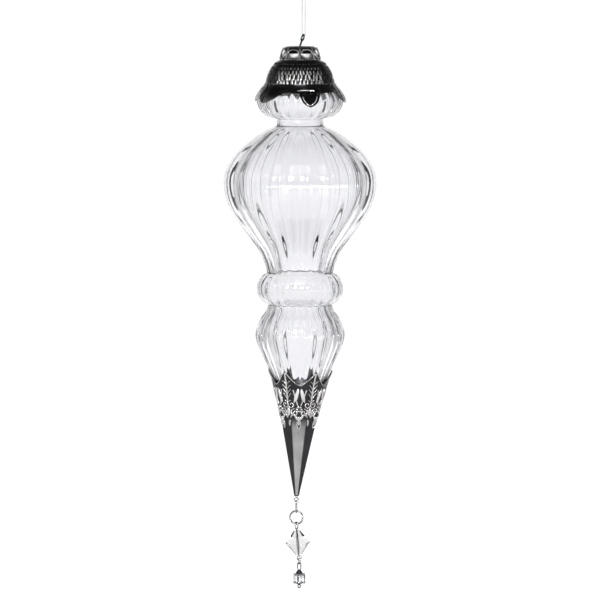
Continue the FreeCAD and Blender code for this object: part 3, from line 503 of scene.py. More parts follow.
def wire(name: str, points: Sequence[Vector], radius: float, closed: bool = False) -> bpy.types.Object:
    """A round wire along a smooth line that some points draw after them.

    Args:
        name: The piece's name.
        points: Control points of the line, which touches only its two ends.
        radius: The wire's own radius.
        closed: Whether the line runs round to its start.

    Returns:
        The wire as a mesh.
    """
    curve = bpy.data.curves.new(name, "CURVE")
    curve.dimensions = "3D"
    curve.bevel_depth = radius
    curve.bevel_resolution = WIRE_ROUNDNESS
    curve.use_fill_caps = True
    curve.resolution_u = 4
    spline = curve.splines.new("NURBS")
    spline.points.add(len(points) - 1)
    for point, place in zip(spline.points, points):
        point.co = (*place, 1.0)
    spline.use_cyclic_u = closed
    spline.order_u = 3
    spline.use_endpoint_u = not closed
    piece = bpy.data.objects.new(name, curve)
    bpy.context.scene.collection.objects.link(piece)
    take_up(piece)
    bpy.ops.object.convert(target="MESH")
    return smoothed(bpy.context.view_layer.objects.active, 60.0)


def boss(name: str, size: Sequence[float], segments: int = 10, rings: int = 6) -> bpy.types.Object:
    """A small rounded boss centred on the origin, of half sizes along X, Y and Z."""
    deselect_all()
    bpy.ops.mesh.primitive_uv_sphere_add(segments=segments, ring_count=rings, radius=1.0)
    piece = bpy.context.view_layer.objects.active
    piece.name = name
    piece.data.transform(Matrix.Diagonal((*size, 1.0)))
    return smoothed(piece, 80.0)


def give_wear_and_light(piece: bpy.types.Object, share: Callable[[Vector], float]) -> bpy.types.Object:
    """Store how raised, and so how worn, each point of a piece is; on some pieces the share carries painted
    highlight, painted reflection and painted shade as well.
    """
    attribute = piece.data.attributes.get("wear_and_light") or piece.data.attributes.new("wear_and_light", "FLOAT", "POINT")
    for vertex in piece.data.vertices:
        attribute.data[vertex.index].value = clamped(share(vertex.co))
    return piece


def clamped(share: float) -> float:
    """A share held between 0 and 1."""
    return max(0.0, min(1.0, share))


def azimuth_of(point: Vector) -> float:
    """Degrees from the front (-Y) towards +X."""
    return math.degrees(math.atan2(point.x, -point.y))


def on_ring(azimuth: float, radius: float, height: float) -> Vector:
    """A point at an azimuth from the front, a radius and a height."""
    angle = math.radians(azimuth)
    return Vector((radius * math.sin(angle), -radius * math.cos(angle), height))


def between(start: float, stop: float, share: float) -> float:
    """A number part of the way between two."""
    return start + (stop - start) * share


# ------------------------------------------------------------------------------------------------
# Sub-assemblies
# ------------------------------------------------------------------------------------------------


@dataclass
class SubAssembly:
    """Pieces that ride together on one body."""

    body: str = ""
    pieces: list[tuple[bpy.types.Object, Finish]] = field(default_factory=list)

    def keep(self, piece: bpy.types.Object, finish: Finish, slot: str, *nodes: str) -> bpy.types.Object:
        """Let a finished piece ride on this body.

        Args:
            piece: The finished piece, its place in its mesh.
            finish: What it is dressed in.
            slot: The record's material slot; not used.
            nodes: The CAD nodes that it stands for.

        Returns:
            The piece.
        """
        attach(piece, self.body)
        if nodes:
            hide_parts(*nodes)
        self.pieces.append((piece, finish))
        return piece

    def dress(self) -> None:
        """Give each piece its finish."""
        for piece, finish in self.pieces:
            piece.data.materials.clear()
            piece.data.materials.append(finish_material(finish))
            LOG.info("%s rides on %s in %s", piece.name, self.body, finish.value.name)

    def smooth_twin(self, node: str, name: str, finish: Finish, slot: str) -> bpy.types.Object:
        """A merged, smoothly shaded twin of a CAD node."""
        twin = copied(frame["nodes"][node], Matrix.Identity(4))
        twin.name = name
        twin.parent = None
        for key in [key for key in twin.keys() if key.startswith("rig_")]:
            del twin[key]
        smoothed(cleaned(twin, merge=0.002 * MM), 35.0)
        return self.keep(twin, finish, slot, node)


@dataclass
class HangingLoop(SubAssembly):
    """The nylon loop and the knot that closes it."""

    body: str = "thread_loop"
    diameter: float = 0.4 * MM
    strand: float = 0.85 * MM
    lowest: float = -21.35 * MM
    straight_end: float = -18.95 * MM
    length: float = 43.7 * MM
    knot_turns: int = 48
    knot_reach: float = 0.36 * MM
    knot_middle: float = 1.25 * MM
    knot_depth: float = 0.6 * MM
    knot_shift: float = 0.22 * MM
    tail: tuple[tuple[float, float], ...] = ((1, 0.0), (2, 1.3), (3.5, 2.2), (5, 2.9))

    def build(self) -> None:
        """Make the line, taut round the hanger's wire, and its knot above."""
        route = [
            (-self.strand, 0.0, 0.0),
            (-self.strand, 0.0, self.straight_end),
            (-self.strand, 0.0, self.lowest),
            (self.strand, 0.0, self.lowest),
            (self.strand, 0.0, self.straight_end),
            (self.strand, 0.0, 0.0),
        ]
        curve = bpy.data.curves.new("nylon_line", "CURVE")
        curve.dimensions = "3D"
        curve.bevel_depth = 1.0
        curve.bevel_resolution = WIRE_ROUNDNESS
        curve.use_fill_caps = True
        curve.resolution_u = 16
        spline = curve.splines.new("NURBS")
        spline.points.add(len(route) - 1)
        for point, place in zip(spline.points, route):
            point.co = (*place, 1.0)
            point.radius = self.diameter / 2
        spline.order_u = 3
        spline.use_endpoint_u = True
        line = bpy.data.objects.new("nylon_line", curve)
        bpy.context.scene.collection.objects.link(line)
        self.keep(line, Finish.NYLON, "clear_nylon", "thread")
        knot = self.keep(self._knot(), Finish.NYLON, "clear_nylon", "thread_knot")

    def _knot(self) -> bpy.types.Object:
        """Two strands drawn up in an overhand knot, with their two short tails."""
        members = []
        for strand, shift in enumerate((-self.knot_shift, self.knot_shift)):
            points = []
            for step in range(self.knot_turns):
                angle = 2 * math.pi * step / self.knot_turns
                x = self.knot_reach * (math.sin(angle) + 2 * math.sin(2 * angle))
                y = self.knot_reach * (math.cos(angle) - 2 * math.cos(2 * angle))
                z = self.knot_middle - self.knot_depth * math.sin(3 * angle)
                points.append(Vector((x + shift, y + shift, z + shift)))
            members.append(wire(f"knot_turns_{strand}", points, 0.24 * MM, closed=True))
            tail = [Vector((shift * out, shift * 2, up * MM)) for out, up in self.tail]
            members.append(wire(f"knot_tail_{strand}", tail, self.diameter / 2))
        return joined("nylon_knot", members)


@dataclass
class Hanger(SubAssembly):
    """The bent hanger wire and the washer on its foot."""

    body: str = "hanger"

    def build(self) -> None:
        """Carry over the wire and the washer with smooth shading."""
        self.smooth_twin("hanger_wire", "hanger_hook", Finish.DARK_WIRE, "dark_wire")
        self.smooth_twin("hanger_washer", "hanger_foot_washer", Finish.DARK_WIRE, "dark_wire")


@dataclass
class Crown(SubAssembly):
    """The openwork crown: a ring of tall rounded windows between a boss and a beaded foot."""

    body: str = "ornament"
    windows: int = 8
    top_radius: float = 7.2 * MM
    waist_radius: float = 9.9 * MM
    foot_radius: float = 10.9 * MM
    wall: float = 0.5 * MM
    hole: float = 0.57 * MM
    window_turn: float = 22.5
    window_half_width: float = 2.75 * MM
    window_half_height: float = 2.0 * MM
    foot_beads: int = 44

    def build(self) -> None:
        """Make the shell, the window frames, the boss on top and the beads at the foot."""
        low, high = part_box("crown")
        self.axis = (low.x + high.x) / 2
        self.top = high.z
        self.foot = low.z
        shell = self._shell()
        frames = self._window_frames()
        core = self._painted_light_core()
        shift = Matrix.Translation((self.axis, 0, 0))
        for piece in (shell, frames, core):
            piece.data.transform(shift)
        # The core is a dark liner where the crown's inside lies in shade, with a painted reflection on its
        # lower half.
        self.keep(core, Finish.CROWN_WELL, "dark_stamping")
        self.keep(shell, Finish.GUNMETAL, "dark_stamping", "crown")
        self.keep(frames, Finish.GUNMETAL, "dark_stamping")

    def _radius(self, height: float) -> float:
        """The crown's outer radius at a height."""
        share = (self.top - height) / (self.top - self.foot)
        bell = self.top_radius + (self.waist_radius - self.top_radius) * min(1.0, share / 0.4) ** 0.5
        return bell + (self.foot_radius - self.waist_radius) * max(0.0, (share - 0.35) / 0.65) ** 1.3

    def _shell(self) -> bpy.types.Object:
        """The thin bell with its windows cut out."""
        deep = self.top - self.foot
        heights = [self.top - deep * n / 16 for n in range(17)]
        outer = [(self._radius(height), height) for height in heights]
        inner = [(radius - self.wall, height - 0.1 * self.wall) for radius, height in reversed(outer[1:])]
        lid = [
            (self.top_radius - self.wall, self.top - self.wall),
            (self.hole, self.top - self.wall),
            (self.hole, self.top - 0.05 * MM),
            (2.6 * MM, self.top - 0.02 * MM),
            (3.1 * MM, self.top - 0.3 * MM),
            (5.2 * MM, self.top - 0.25 * MM),
        ]
        shell = spun("crown_shell", outer + inner + lid, 96)
        cutter = joined("window_cutter", [self._cutter(azimuth) for azimuth in self._window_azimuths()])
        modified(shell, "BOOLEAN", operation="DIFFERENCE", object=cutter, solver="EXACT")
        discard(cutter)
        smoothed(shell, 35.0)
        return give_wear_and_light(shell, lambda point: 0.5 if point.z > self.top - 0.5 * MM else 0.1)

    def _window_azimuths(self) -> list[float]:
        """Where the windows' middles are."""
        return [self.window_turn + 360 / self.windows * number for number in range(self.windows)]

    def _painted_light_core(self) -> bpy.types.Object:
        """The inner cup behind the windows, bright below as a painted reflection and dark above as painted
        shade.
        """
        low, high = self.foot + 0.35 * MM, self.top - self.wall - 0.1 * MM
        middle = between(low, high, 0.48)
        levels = (
            (low, 0.15),
            (between(low, middle, 0.5), 0.2),
            (middle, 0.25),
            (middle + 0.2 * MM, 0.7),
            (high, 0.9),
        )
        outer = [(self._radius(height) - self.wall - gap * MM, height) for height, gap in levels]
        inner = [(radius - self.wall, height) for radius, height in reversed(outer)]
        cup = smoothed(spun("crown_core_painted_light", outer + inner, 96), 40.0)
        # Painted reflection below the middle, painted shade above it.
        return give_wear_and_light(cup, lambda point: 1.0 if point.z < middle + 0.1 * MM else 0.0)

    def _window(self, azimuth: float, angle: float, grow: float, radius: float = 0.0) -> Vector:
        """A point on the rim of a window: wide and round above, narrower below."""
        middle = self.foot + 0.47 * (self.top - self.foot)
        width = (self.window_half_width + grow) * (1.0 + 0.16 * math.sin(angle))
        across = width * math.cos(angle)
        height = middle + (self.window_half_height + grow) * math.sin(angle)
        reach = radius or self._radius(height)
        return on_ring(azimuth + math.degrees(across / self.waist_radius), reach, height)

    def _cutter(self, azimuth: float) -> bpy.types.Object:
        """A block with the outline of one window that runs through the wall."""
        points = 28
        rims = [
            [self._window(azimuth, 2 * math.pi * n / points, 0.0, radius) for n in range(points)]
            for radius in (self.top_radius - 2.2 * MM, self.foot_radius + 2 * MM)
        ]
        mesh = bpy.data.meshes.new("window")
        faces = [(n, (n + 1) % points, points + (n + 1) % points, points + n) for n in range(points)]
        caps = [tuple(range(points)), tuple(range(2 * points - 1, points - 1, -1))]
        mesh.from_pydata([tuple(p) for rim in rims for p in rim], [], faces + caps)
        block = bpy.data.objects.new("window", mesh)
        bpy.context.scene.collection.objects.link(block)
        return cleaned(block)

    def _window_frames(self) -> bpy.types.Object:
        """Raised rims round the windows, ribs between them and a row of beads round the foot."""
        members = []
        points = 20
        heights = (self.foot + 0.5 * MM, self.foot + 2.4 * MM, self.top - 2.4 * MM, self.top - 0.8 * MM)
        for number, azimuth in enumerate(self._window_azimuths()):
            rim = [self._window(azimuth, 2 * math.pi * n / points, 0.3 * MM) for n in range(points)]
            members.append(give_wear_and_light(wire(f"frame_{number}", rim, 0.36 * MM, closed=True), lambda p: 0.45))
            rib = [
                on_ring(azimuth + 180 / self.windows, self._radius(height) + 0.05 * MM, height)
                for height in heights
            ]
            members.append(give_wear_and_light(wire(f"rib_{number}", rib, 0.42 * MM), lambda p: 0.3))
        bead = give_wear_and_light(boss("bead", (0.5 * MM, 0.42 * MM, 0.4 * MM)), lambda p: 0.3)
        for number in range(self.foot_beads):
            azimuth = 360 / self.foot_beads * number
            place = on_ring(azimuth, self.foot_radius - 0.25 * MM, self.foot + 0.42 * MM)
            members.append(copied(bead, Matrix.Translation(place) @ about_z(azimuth)))
        discard(bead)
        return joined("crown_window_frames", members)


@dataclass
class Dome(SubAssembly):
    """The cap's dome: a dark bell covered in rows of slim raised scales.

    Its profile is given as (share of the height, radius in millimetres) from the top, and each row of scales
    as (share of the height, half length in millimetres, wear); the wear is partly a painted highlight, and
    is kept low on the upper rows as painted shade.
    """

    body: str = "ornament"
    wall: float = 0.5 * MM
    base_radius: float = 19.2 * MM
    profile: tuple[tuple[float, float], ...] = (
        (0.0, 11.0), (0.035, 12.3), (0.14, 13.9), (0.3, 15.7),
        (0.47, 17.0), (0.65, 17.95), (0.83, 18.6), (1.0, 19.2))
    hole: float = 0.57 * MM
    columns: int = 52
    fans: int = 3
    # Wear per row, partly a painted highlight: low on the upward-facing upper rows as painted shade, full on
    # the lower rows.
    rows: tuple[tuple[float, float, float], ...] = (
        (0.12, 0.9, 0.1), (0.27, 1.1, 0.25), (0.43, 1.5, 0.6), (0.6, 2.0, 1.0), (0.8, 2.0, 1.0))

    def build(self) -> None:
        """Make the bell and its scales."""
        low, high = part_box("cap_dome")
        self.axis = (low.x + high.x) / 2
        self.top, self.rim = high.z, low.z
        stations = [(radius * MM, between(self.top, self.rim, share)) for share, radius in self.profile]
        outer = smooth_outline(stations, 4)
        self.outer = outer
        inner = [(radius - self.wall, height) for radius, height in reversed(outer[3:])]
        under = self.top - self.wall
        lid = [(outer[0][0] - 1.5 * MM, under), (self.hole, under), (self.hole, self.top)]
        bell = smoothed(spun("dome_bell", outer + inner + lid, 120), 50.0)
        give_wear_and_light(bell, lambda point: 0.0)
        scales = self._scales()
        shift = Matrix.Translation((self.axis, 0, 0))
        for piece in (bell, scales):
            piece.data.transform(shift)
        self.keep(bell, Finish.GUNMETAL, "dark_stamping", "cap_dome")
        self.keep(scales, Finish.GUNMETAL, "dark_stamping")

    def radius(self, height: float) -> float:
        """The bell's outer radius at a height."""
        for (above, high), (under, low) in zip(self.outer, self.outer[1:]):
            if high >= height >= low and high > low:
                return between(above, under, (high - height) / (high - low))
        return self.base_radius

    def _scales(self) -> bpy.types.Object:
        """Rows of slim lens-shaped scales, each row set half a scale round from the last.

        The scales are worn bright in broad fans, one facing the camera, with dark plating left between the
        fans;
        the brightness is partly real wear and partly a painted highlight.
        """
        draw = random.Random(SEED)
        scale = boss("scale", (1.0, 1.0, 1.0), segments=8, rings=6)
        members = []
        for number, (share, half_length, worn) in enumerate(self.rows):
            height = between(self.top, self.rim, share)
            radius = self.radius(height)
            slope = math.atan2(self.radius(height - MM) - self.radius(height + MM), 2 * MM)
            pitch = 2 * math.pi * radius / self.columns
            for column in range(self.columns):
                azimuth = 360 / self.columns * (column + 0.5 * (number % 2)) + draw.uniform(-1.0, 1.0)
                # Painted highlight in three fans, one facing the camera: scales within about 46 degrees of a
                # fan's middle are brighter.
                from_highlight_fan = abs((azimuth * self.fans + 180) % 360 - 180) / self.fans
                fan = clamped((46 - from_highlight_fan) / 8)
                long = half_length * MM * draw.uniform(0.85, 1.1)
                size = Matrix.Diagonal((pitch * 0.32, 0.2 * MM, long, 1.0))
                lean = Matrix.Rotation(-slope, 4, "X")
                twist = Matrix.Rotation(math.radians(draw.uniform(-16, 16)), 4, "Y")
                place = on_ring(azimuth, radius + 0.02 * MM, height)
                twin = copied(scale, Matrix.Translation(place) @ about_z(azimuth) @ lean @ twist @ size)
                # This scale's share of wear mixed with painted highlight.
                shine = worn * fan * draw.uniform(0.7, 1.3)
                members.append(give_wear_and_light(twin, lambda point, shine=shine: shine))
        discard(scale)
        return joined("dome_scales", members)


@dataclass
class SkirtLeaf:
    """One leaf of the skirt.

    Attributes:
        azimuth: Where its middle is, in degrees.
        half_width: Half its width at the root.
        length: Where its tip is, as a share of the skirt's height.
        cup: How far its face is hollowed and its edge turned out.
        lift: How far its tip stands off the glass.
        skew: How far its tip is drawn sideways, as a share of its half width.
        veins: How strongly its veins are raised and worn.
        blunt: How blunt its tip is.
        along: How many veins follow each other from its root to its tip.
        fan: How far the veins sweep back towards its edges.
        polish: How worn it is all over.
    """

    azimuth: float
    half_width: float
    length: float = 1.0
    cup: float = 0.0
    lift: float = 0.0
    skew: float = 0.0
    veins: float = 1.0
    blunt: float = 1.9
    along: float = 6.5
    fan: float = 1.8
    polish: float = 0.0


@dataclass
class LeafSkirt(SubAssembly):
    """The leaves that flare from the dome's rim over the glass, on a smooth band."""

    body: str = "ornament"
    thick: float = 0.45 * MM
    band_depth: float = 5.2 * MM
    leaves: tuple[SkirtLeaf, ...] = (
        SkirtLeaf(13.0, 5.6 * MM, 1.16, cup=1.0, veins=0.0, blunt=3.2),
        SkirtLeaf(74.0, 8.4 * MM, 0.98, lift=1.0, veins=1.5, along=0.6, fan=2.4),
        SkirtLeaf(134.0, 9.0 * MM, 0.96, lift=0.5),
        SkirtLeaf(-166.0, 8.0 * MM, 1.0, cup=0.6),
        SkirtLeaf(-106.0, 8.6 * MM, 0.94, lift=0.8, polish=0.4),
        SkirtLeaf(-44.0, 9.8 * MM, 1.0, skew=-0.42, veins=0.1),
    )
    root: float = 0.2
    rows: int = 30
    columns: int = 24

    def build(self) -> None:
        """Make the band and the leaves."""
        low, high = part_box("leaf_skirt")
        self.axis = (low.x + high.x) / 2
        self.top, self.tip = high.z, low.z
        band = self._band()
        members = [self._leaf(leaf, number) for number, leaf in enumerate(self.leaves)]
        members += [make(leaf) for leaf in self.leaves if leaf.cup > 0 for make in (self._brow, self._lip)]
        leaves = joined("skirt_leaves", members)
        shift = Matrix.Translation((self.axis, 0, 0))
        for piece in (band, leaves):
            piece.data.transform(shift)
        self.keep(leaves, Finish.GUNMETAL, "dark_stamping", "leaf_skirt")
        self.keep(band, Finish.GUNMETAL, "dark_stamping")

    def _surface(self, share: float) -> tuple[float, float]:
        """Radius and height of the skirt, from its upper edge (0) to the tips (1)."""
        height = between(self.top, self.tip, share)
        radius = between(19.25 * MM, 24.3 * MM, math.sin(math.radians(90 * min(1.0, share))) ** 1.25)
        return radius, height

    def _band(self) -> bpy.types.Object:
        """The smooth band under the dome, its hem arched and slightly uneven."""
        shares = [n / 10 * self.band_depth / (self.top - self.tip) for n in range(11)]
        outer = [self._surface(share) for share in shares]
        inner = [(radius - self.thick, height) for radius, height in reversed(outer)]
        band = spun("skirt_band", outer + inner, 144)
        hem = outer[-1][1]
        for vertex in band.data.vertices:
            share = (self.top - vertex.co.z) / (self.top - hem)
            azimuth = math.radians(azimuth_of(vertex.co))
            arches = 0.55 * math.cos(6 * azimuth - math.radians(84))
            uneven = 0.3 * math.sin(17 * azimuth) * math.sin(5 * azimuth)
            vertex.co.z -= (arches + uneven) * 0.9 * MM * share**3
        smoothed(band, 40.0)
        low, high = hem + 0.35 * MM, self.top - 0.2 * MM
        return give_wear_and_light(band, lambda point: 0.05 if low <= point.z <= high else 0.5)

    def _brow(self, leaf: SkirtLeaf) -> bpy.types.Object:
        """The polished ridge across the root of a cupped leaf."""
        radius, height = self._surface(0.31)
        points = []
        for step in range(9):
            across = step / 4 - 1
            azimuth = leaf.azimuth - 4 + math.degrees(across * 4.4 * MM / radius)
            points.append(on_ring(azimuth, radius + 0.3 * MM, height - 0.35 * MM * across**2))
        return give_wear_and_light(wire("brow", points, 0.34 * MM), lambda point: 1.0)

    def _lip(self, leaf: SkirtLeaf) -> bpy.types.Object:
        """The polished lip that runs round the tip of a cupped leaf, just inside its edge."""
        points = []
        for step in range(-12, 13):
            down = 1.0 - 0.5 * abs(step / 12) ** 1.7
            width = 0.76 * leaf.half_width * (1 - down**leaf.blunt) ** 0.7 * (1 if step > 0 else -1)
            radius, height = self._surface(between(self.root, leaf.length, 0.925 * down))
            reach = radius + leaf.cup * 0.4 * MM
            points.append(on_ring(leaf.azimuth + math.degrees(width / reach), reach, height))
        return give_wear_and_light(wire("lip", points, 0.3 * MM), lambda point: 1.0)

    def _leaf(self, leaf: SkirtLeaf, number: int) -> bpy.types.Object:
        """One leaf, shaped from a grid that runs from its root to its tip."""
        deselect_all()
        bpy.ops.mesh.primitive_grid_add(x_subdivisions=self.columns, y_subdivisions=self.rows, size=2.0)
        piece = bpy.context.view_layer.objects.active
        piece.name = f"skirt_leaf_{number}"
        wear_and_light = piece.data.attributes.new("wear_and_light", "FLOAT", "POINT")
        for vertex in piece.data.vertices:
            across, down = vertex.co.x, (1 - vertex.co.y) / 2
            share = between(self.root, leaf.length, down)
            lobes = 1 + 0.07 * math.sin(down * 19.0) * (1 - down)
            width = leaf.half_width * (1 - down**leaf.blunt) ** 0.7 * lobes
            radius, height = self._surface(share)
            edge = max(abs(across), down) ** 5
            lip = max(abs(across), down) ** 14
            centre = math.exp(-((across * width / (0.7 * MM)) ** 2))
            ripple = math.cos(2 * math.pi * (down * leaf.along - abs(across) * leaf.fan))
            vein = ripple * (1 - abs(across)) ** 0.4
            raised = 0.3 * MM * centre * (1 - 0.5 * down) * (1 - leaf.cup) + 0.12 * MM * leaf.veins * vein
            radius += raised * min(1.0, 4 * down)
            radius += leaf.cup * (1.0 * MM * lip - 0.5 * MM * (1 - across**2) * math.sin(math.pi * down))
            radius += leaf.lift * 0.75 * MM * down**2
            sideways = across * width + leaf.skew * leaf.half_width * down
            vertex.co = on_ring(leaf.azimuth + math.degrees(sideways / radius), radius, height)
            worn = leaf.veins * (0.3 * centre + 0.7 * max(0.0, vein)) + 0.15 * edge * (1 - leaf.cup)
            worn += leaf.polish
            wear_and_light.data[vertex.index].value = clamped(worn * min(1.0, 3 * down))
        modified(piece, "SOLIDIFY", thickness=self.thick, offset=0.0)
        return smoothed(cleaned(piece), 50.0)


@dataclass
class Swell:
    """A stretch of the glass that swells from one radius to its widest and back.

    Attributes:
        length: Its height.
        first: Its radius at the top.
        widest: Its widest radius.
        last: Its radius at the bottom.
        rising: Stations down to the widest, as (share of the height, share of the swell).
        falling: The stations from there to the bottom, in the same form.
        fluting: The depth of its flutes, as a share of the full depth.
    """

    length: float
    first: float
    widest: float
    last: float
    rising: Outline
    falling: Outline
    fluting: float = 1.0

    def stations(self, top: float) -> Outline:
        """Points of the stretch as (radius, height), from its top."""
        return [
            (between(end, self.widest, reach), top - self.length * share)
            for end, half in ((self.first, self.rising), (self.last, self.falling))
            for share, reach in half
        ]


@dataclass
class GlassBody(SubAssembly):
    """The blown glass: bead, neck, bulb, collar and lower bulb, with flutes all round."""

    body: str = "ornament"
    flutes: int = 24
    steps: int = 288
    depth: float = 1.5 * MM
    wall: float = 1.3 * MM
    plain_radius: float = 12.6 * MM
    full_radius: float = 24.3 * MM
    crease: float = 0.2
    inner_share: float = 0.5
    neck_length: float = 3.4 * MM
    swells: tuple[Swell, ...] = (
        Swell(20.6 * MM, 3.2 * MM, 23.3 * MM, 12.6 * MM,
              [(0.0, 0.0), (0.06, 0.42), (0.2, 0.78), (0.5, 1.0)],
              [(0.78, 0.83), (0.93, 0.45), (1.0, 0.0)], 0.6),
        Swell(79.6 * MM, 12.6 * MM, 41.6 * MM, 17.9 * MM,
              [(0.0, 0.0), (0.05, 0.29), (0.12, 0.56), (0.2, 0.79), (0.3, 0.96), (0.395, 1.0)],
              [(0.5, 0.94), (0.6, 0.78), (0.72, 0.49), (0.84, 0.2), (0.93, 0.06), (1.0, 0.0)]),
        Swell(17.2 * MM, 17.9 * MM, 23.5 * MM, 17.3 * MM,
              [(0.0, 0.0), (0.1, 0.5), (0.28, 0.87), (0.5, 1.0)],
              [(0.72, 0.86), (0.9, 0.45), (1.0, 0.0)], 0.35),
        Swell(41.2 * MM, 17.3 * MM, 24.3 * MM, 14.1 * MM,
              [(0.0, 0.0), (0.1, 0.24), (0.22, 0.72), (0.37, 1.0)],
              [(0.5, 0.92), (0.65, 0.66), (0.82, 0.32), (1.0, 0.0)]),
    )
    tail: tuple[tuple[float, float], ...] = (
        (6.0 * MM, 12.1 * MM), (12.0 * MM, 8.9 * MM), (18.0 * MM, 4.9 * MM), (22.0 * MM, 2.0 * MM))
    point_radius: float = 0.0002 * MM

    def build(self) -> None:
        """Turn the shell and press the flutes into it."""
        low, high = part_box("glass_body")
        axis = (low.x + high.x) / 2
        height = high.z
        rows: Outline = []
        depths: list[float] = []
        for number, swell in enumerate(self.swells):
            stretch = swell.stations(height)
            height -= swell.length
            if number == len(self.swells) - 1:
                stretch = stretch + [(radius, height - drop) for drop, radius in self.tail]
            finer = smooth_outline(stretch, 5)[(1 if number > 1 else 0):]
            rows += finer
            depths += [self.share(radius) * swell.fluting for radius, _ in finer]
            if number == 0:
                height -= self.neck_length
        tip = (self.point_radius, rows[-1][1] - 0.8 * MM)
        inner: Outline = []
        shares: list[float] = []
        for (radius, place), depth in zip(rows[2:], depths[2:]):
            wall = self.wall + self.depth * depth * (1 - self.inner_share) * 0.8
            inner.append((max(radius - wall, 0.3 * MM), place))
            shares.append(depth * self.inner_share)
        mouth_radius, mouth_height = rows[0]
        hole = [
            (mouth_radius - self.wall, mouth_height - 0.2 * MM),
            (mouth_radius - self.wall * 0.5, mouth_height + 0.1 * MM),
        ]
        inner_tip = (self.point_radius, rows[-1][1] + 2.4 * MM)
        outline = rows + [tip, inner_tip] + list(reversed([p for p in inner if p[1] > inner_tip[1]])) + hole
        kept = [share for share, point in zip(shares, inner) if point[1] > inner_tip[1]]
        weights = depths + [0.0, 0.0] + list(reversed(kept)) + [0.0, 0.0]
        glass = spun("fluted_glass", outline, self.steps, weights=weights)
        self._flute(glass)
        smoothed(glass, 70.0)
        glass.data.transform(Matrix.Translation((axis, 0, 0)))
        self.keep(glass, Finish.BLOWN_GLASS, "clear_glass", "glass_body")

    def share(self, radius: float) -> float:
        """How deep the flutes are at a radius: none at the neck, full well before the bulb."""
        return clamped((radius - self.plain_radius) / (self.full_radius - self.plain_radius))

    def _flute(self, glass: bpy.types.Object) -> None:
        """Press rounded lobes with narrow creases between them into the shell."""
        crest = math.sqrt(1 + self.crease**2)
        for vertex in glass.data.vertices:
            share = vertex.groups[0].weight if vertex.groups else 0.0
            if share <= 0.0:
                continue
            angle = math.atan2(vertex.co.y, vertex.co.x)
            wave = math.sqrt(math.sin(angle * self.flutes / 2) ** 2 + self.crease**2)
            lobe = (wave - self.crease) / (crest - self.crease)
            radius = math.hypot(vertex.co.x, vertex.co.y)
            scale = (radius - self.depth * share * (1 - lobe)) / radius
            vertex.co.x *= scale
            vertex.co.y *= scale
        glass.vertex_groups.clear()


@dataclass
class Adhesive(SubAssembly):
    """The two hidden bands that hold the metal to the glass."""

    body: str = "ornament"

    def build(self) -> None:
        """Carry the bands over with smooth shading."""
        self.smooth_twin("cap_adhesive", "cap_adhesive_band", Finish.ADHESIVE, "adhesive")
        self.smooth_twin("cone_adhesive", "cone_adhesive_band", Finish.ADHESIVE, "adhesive")


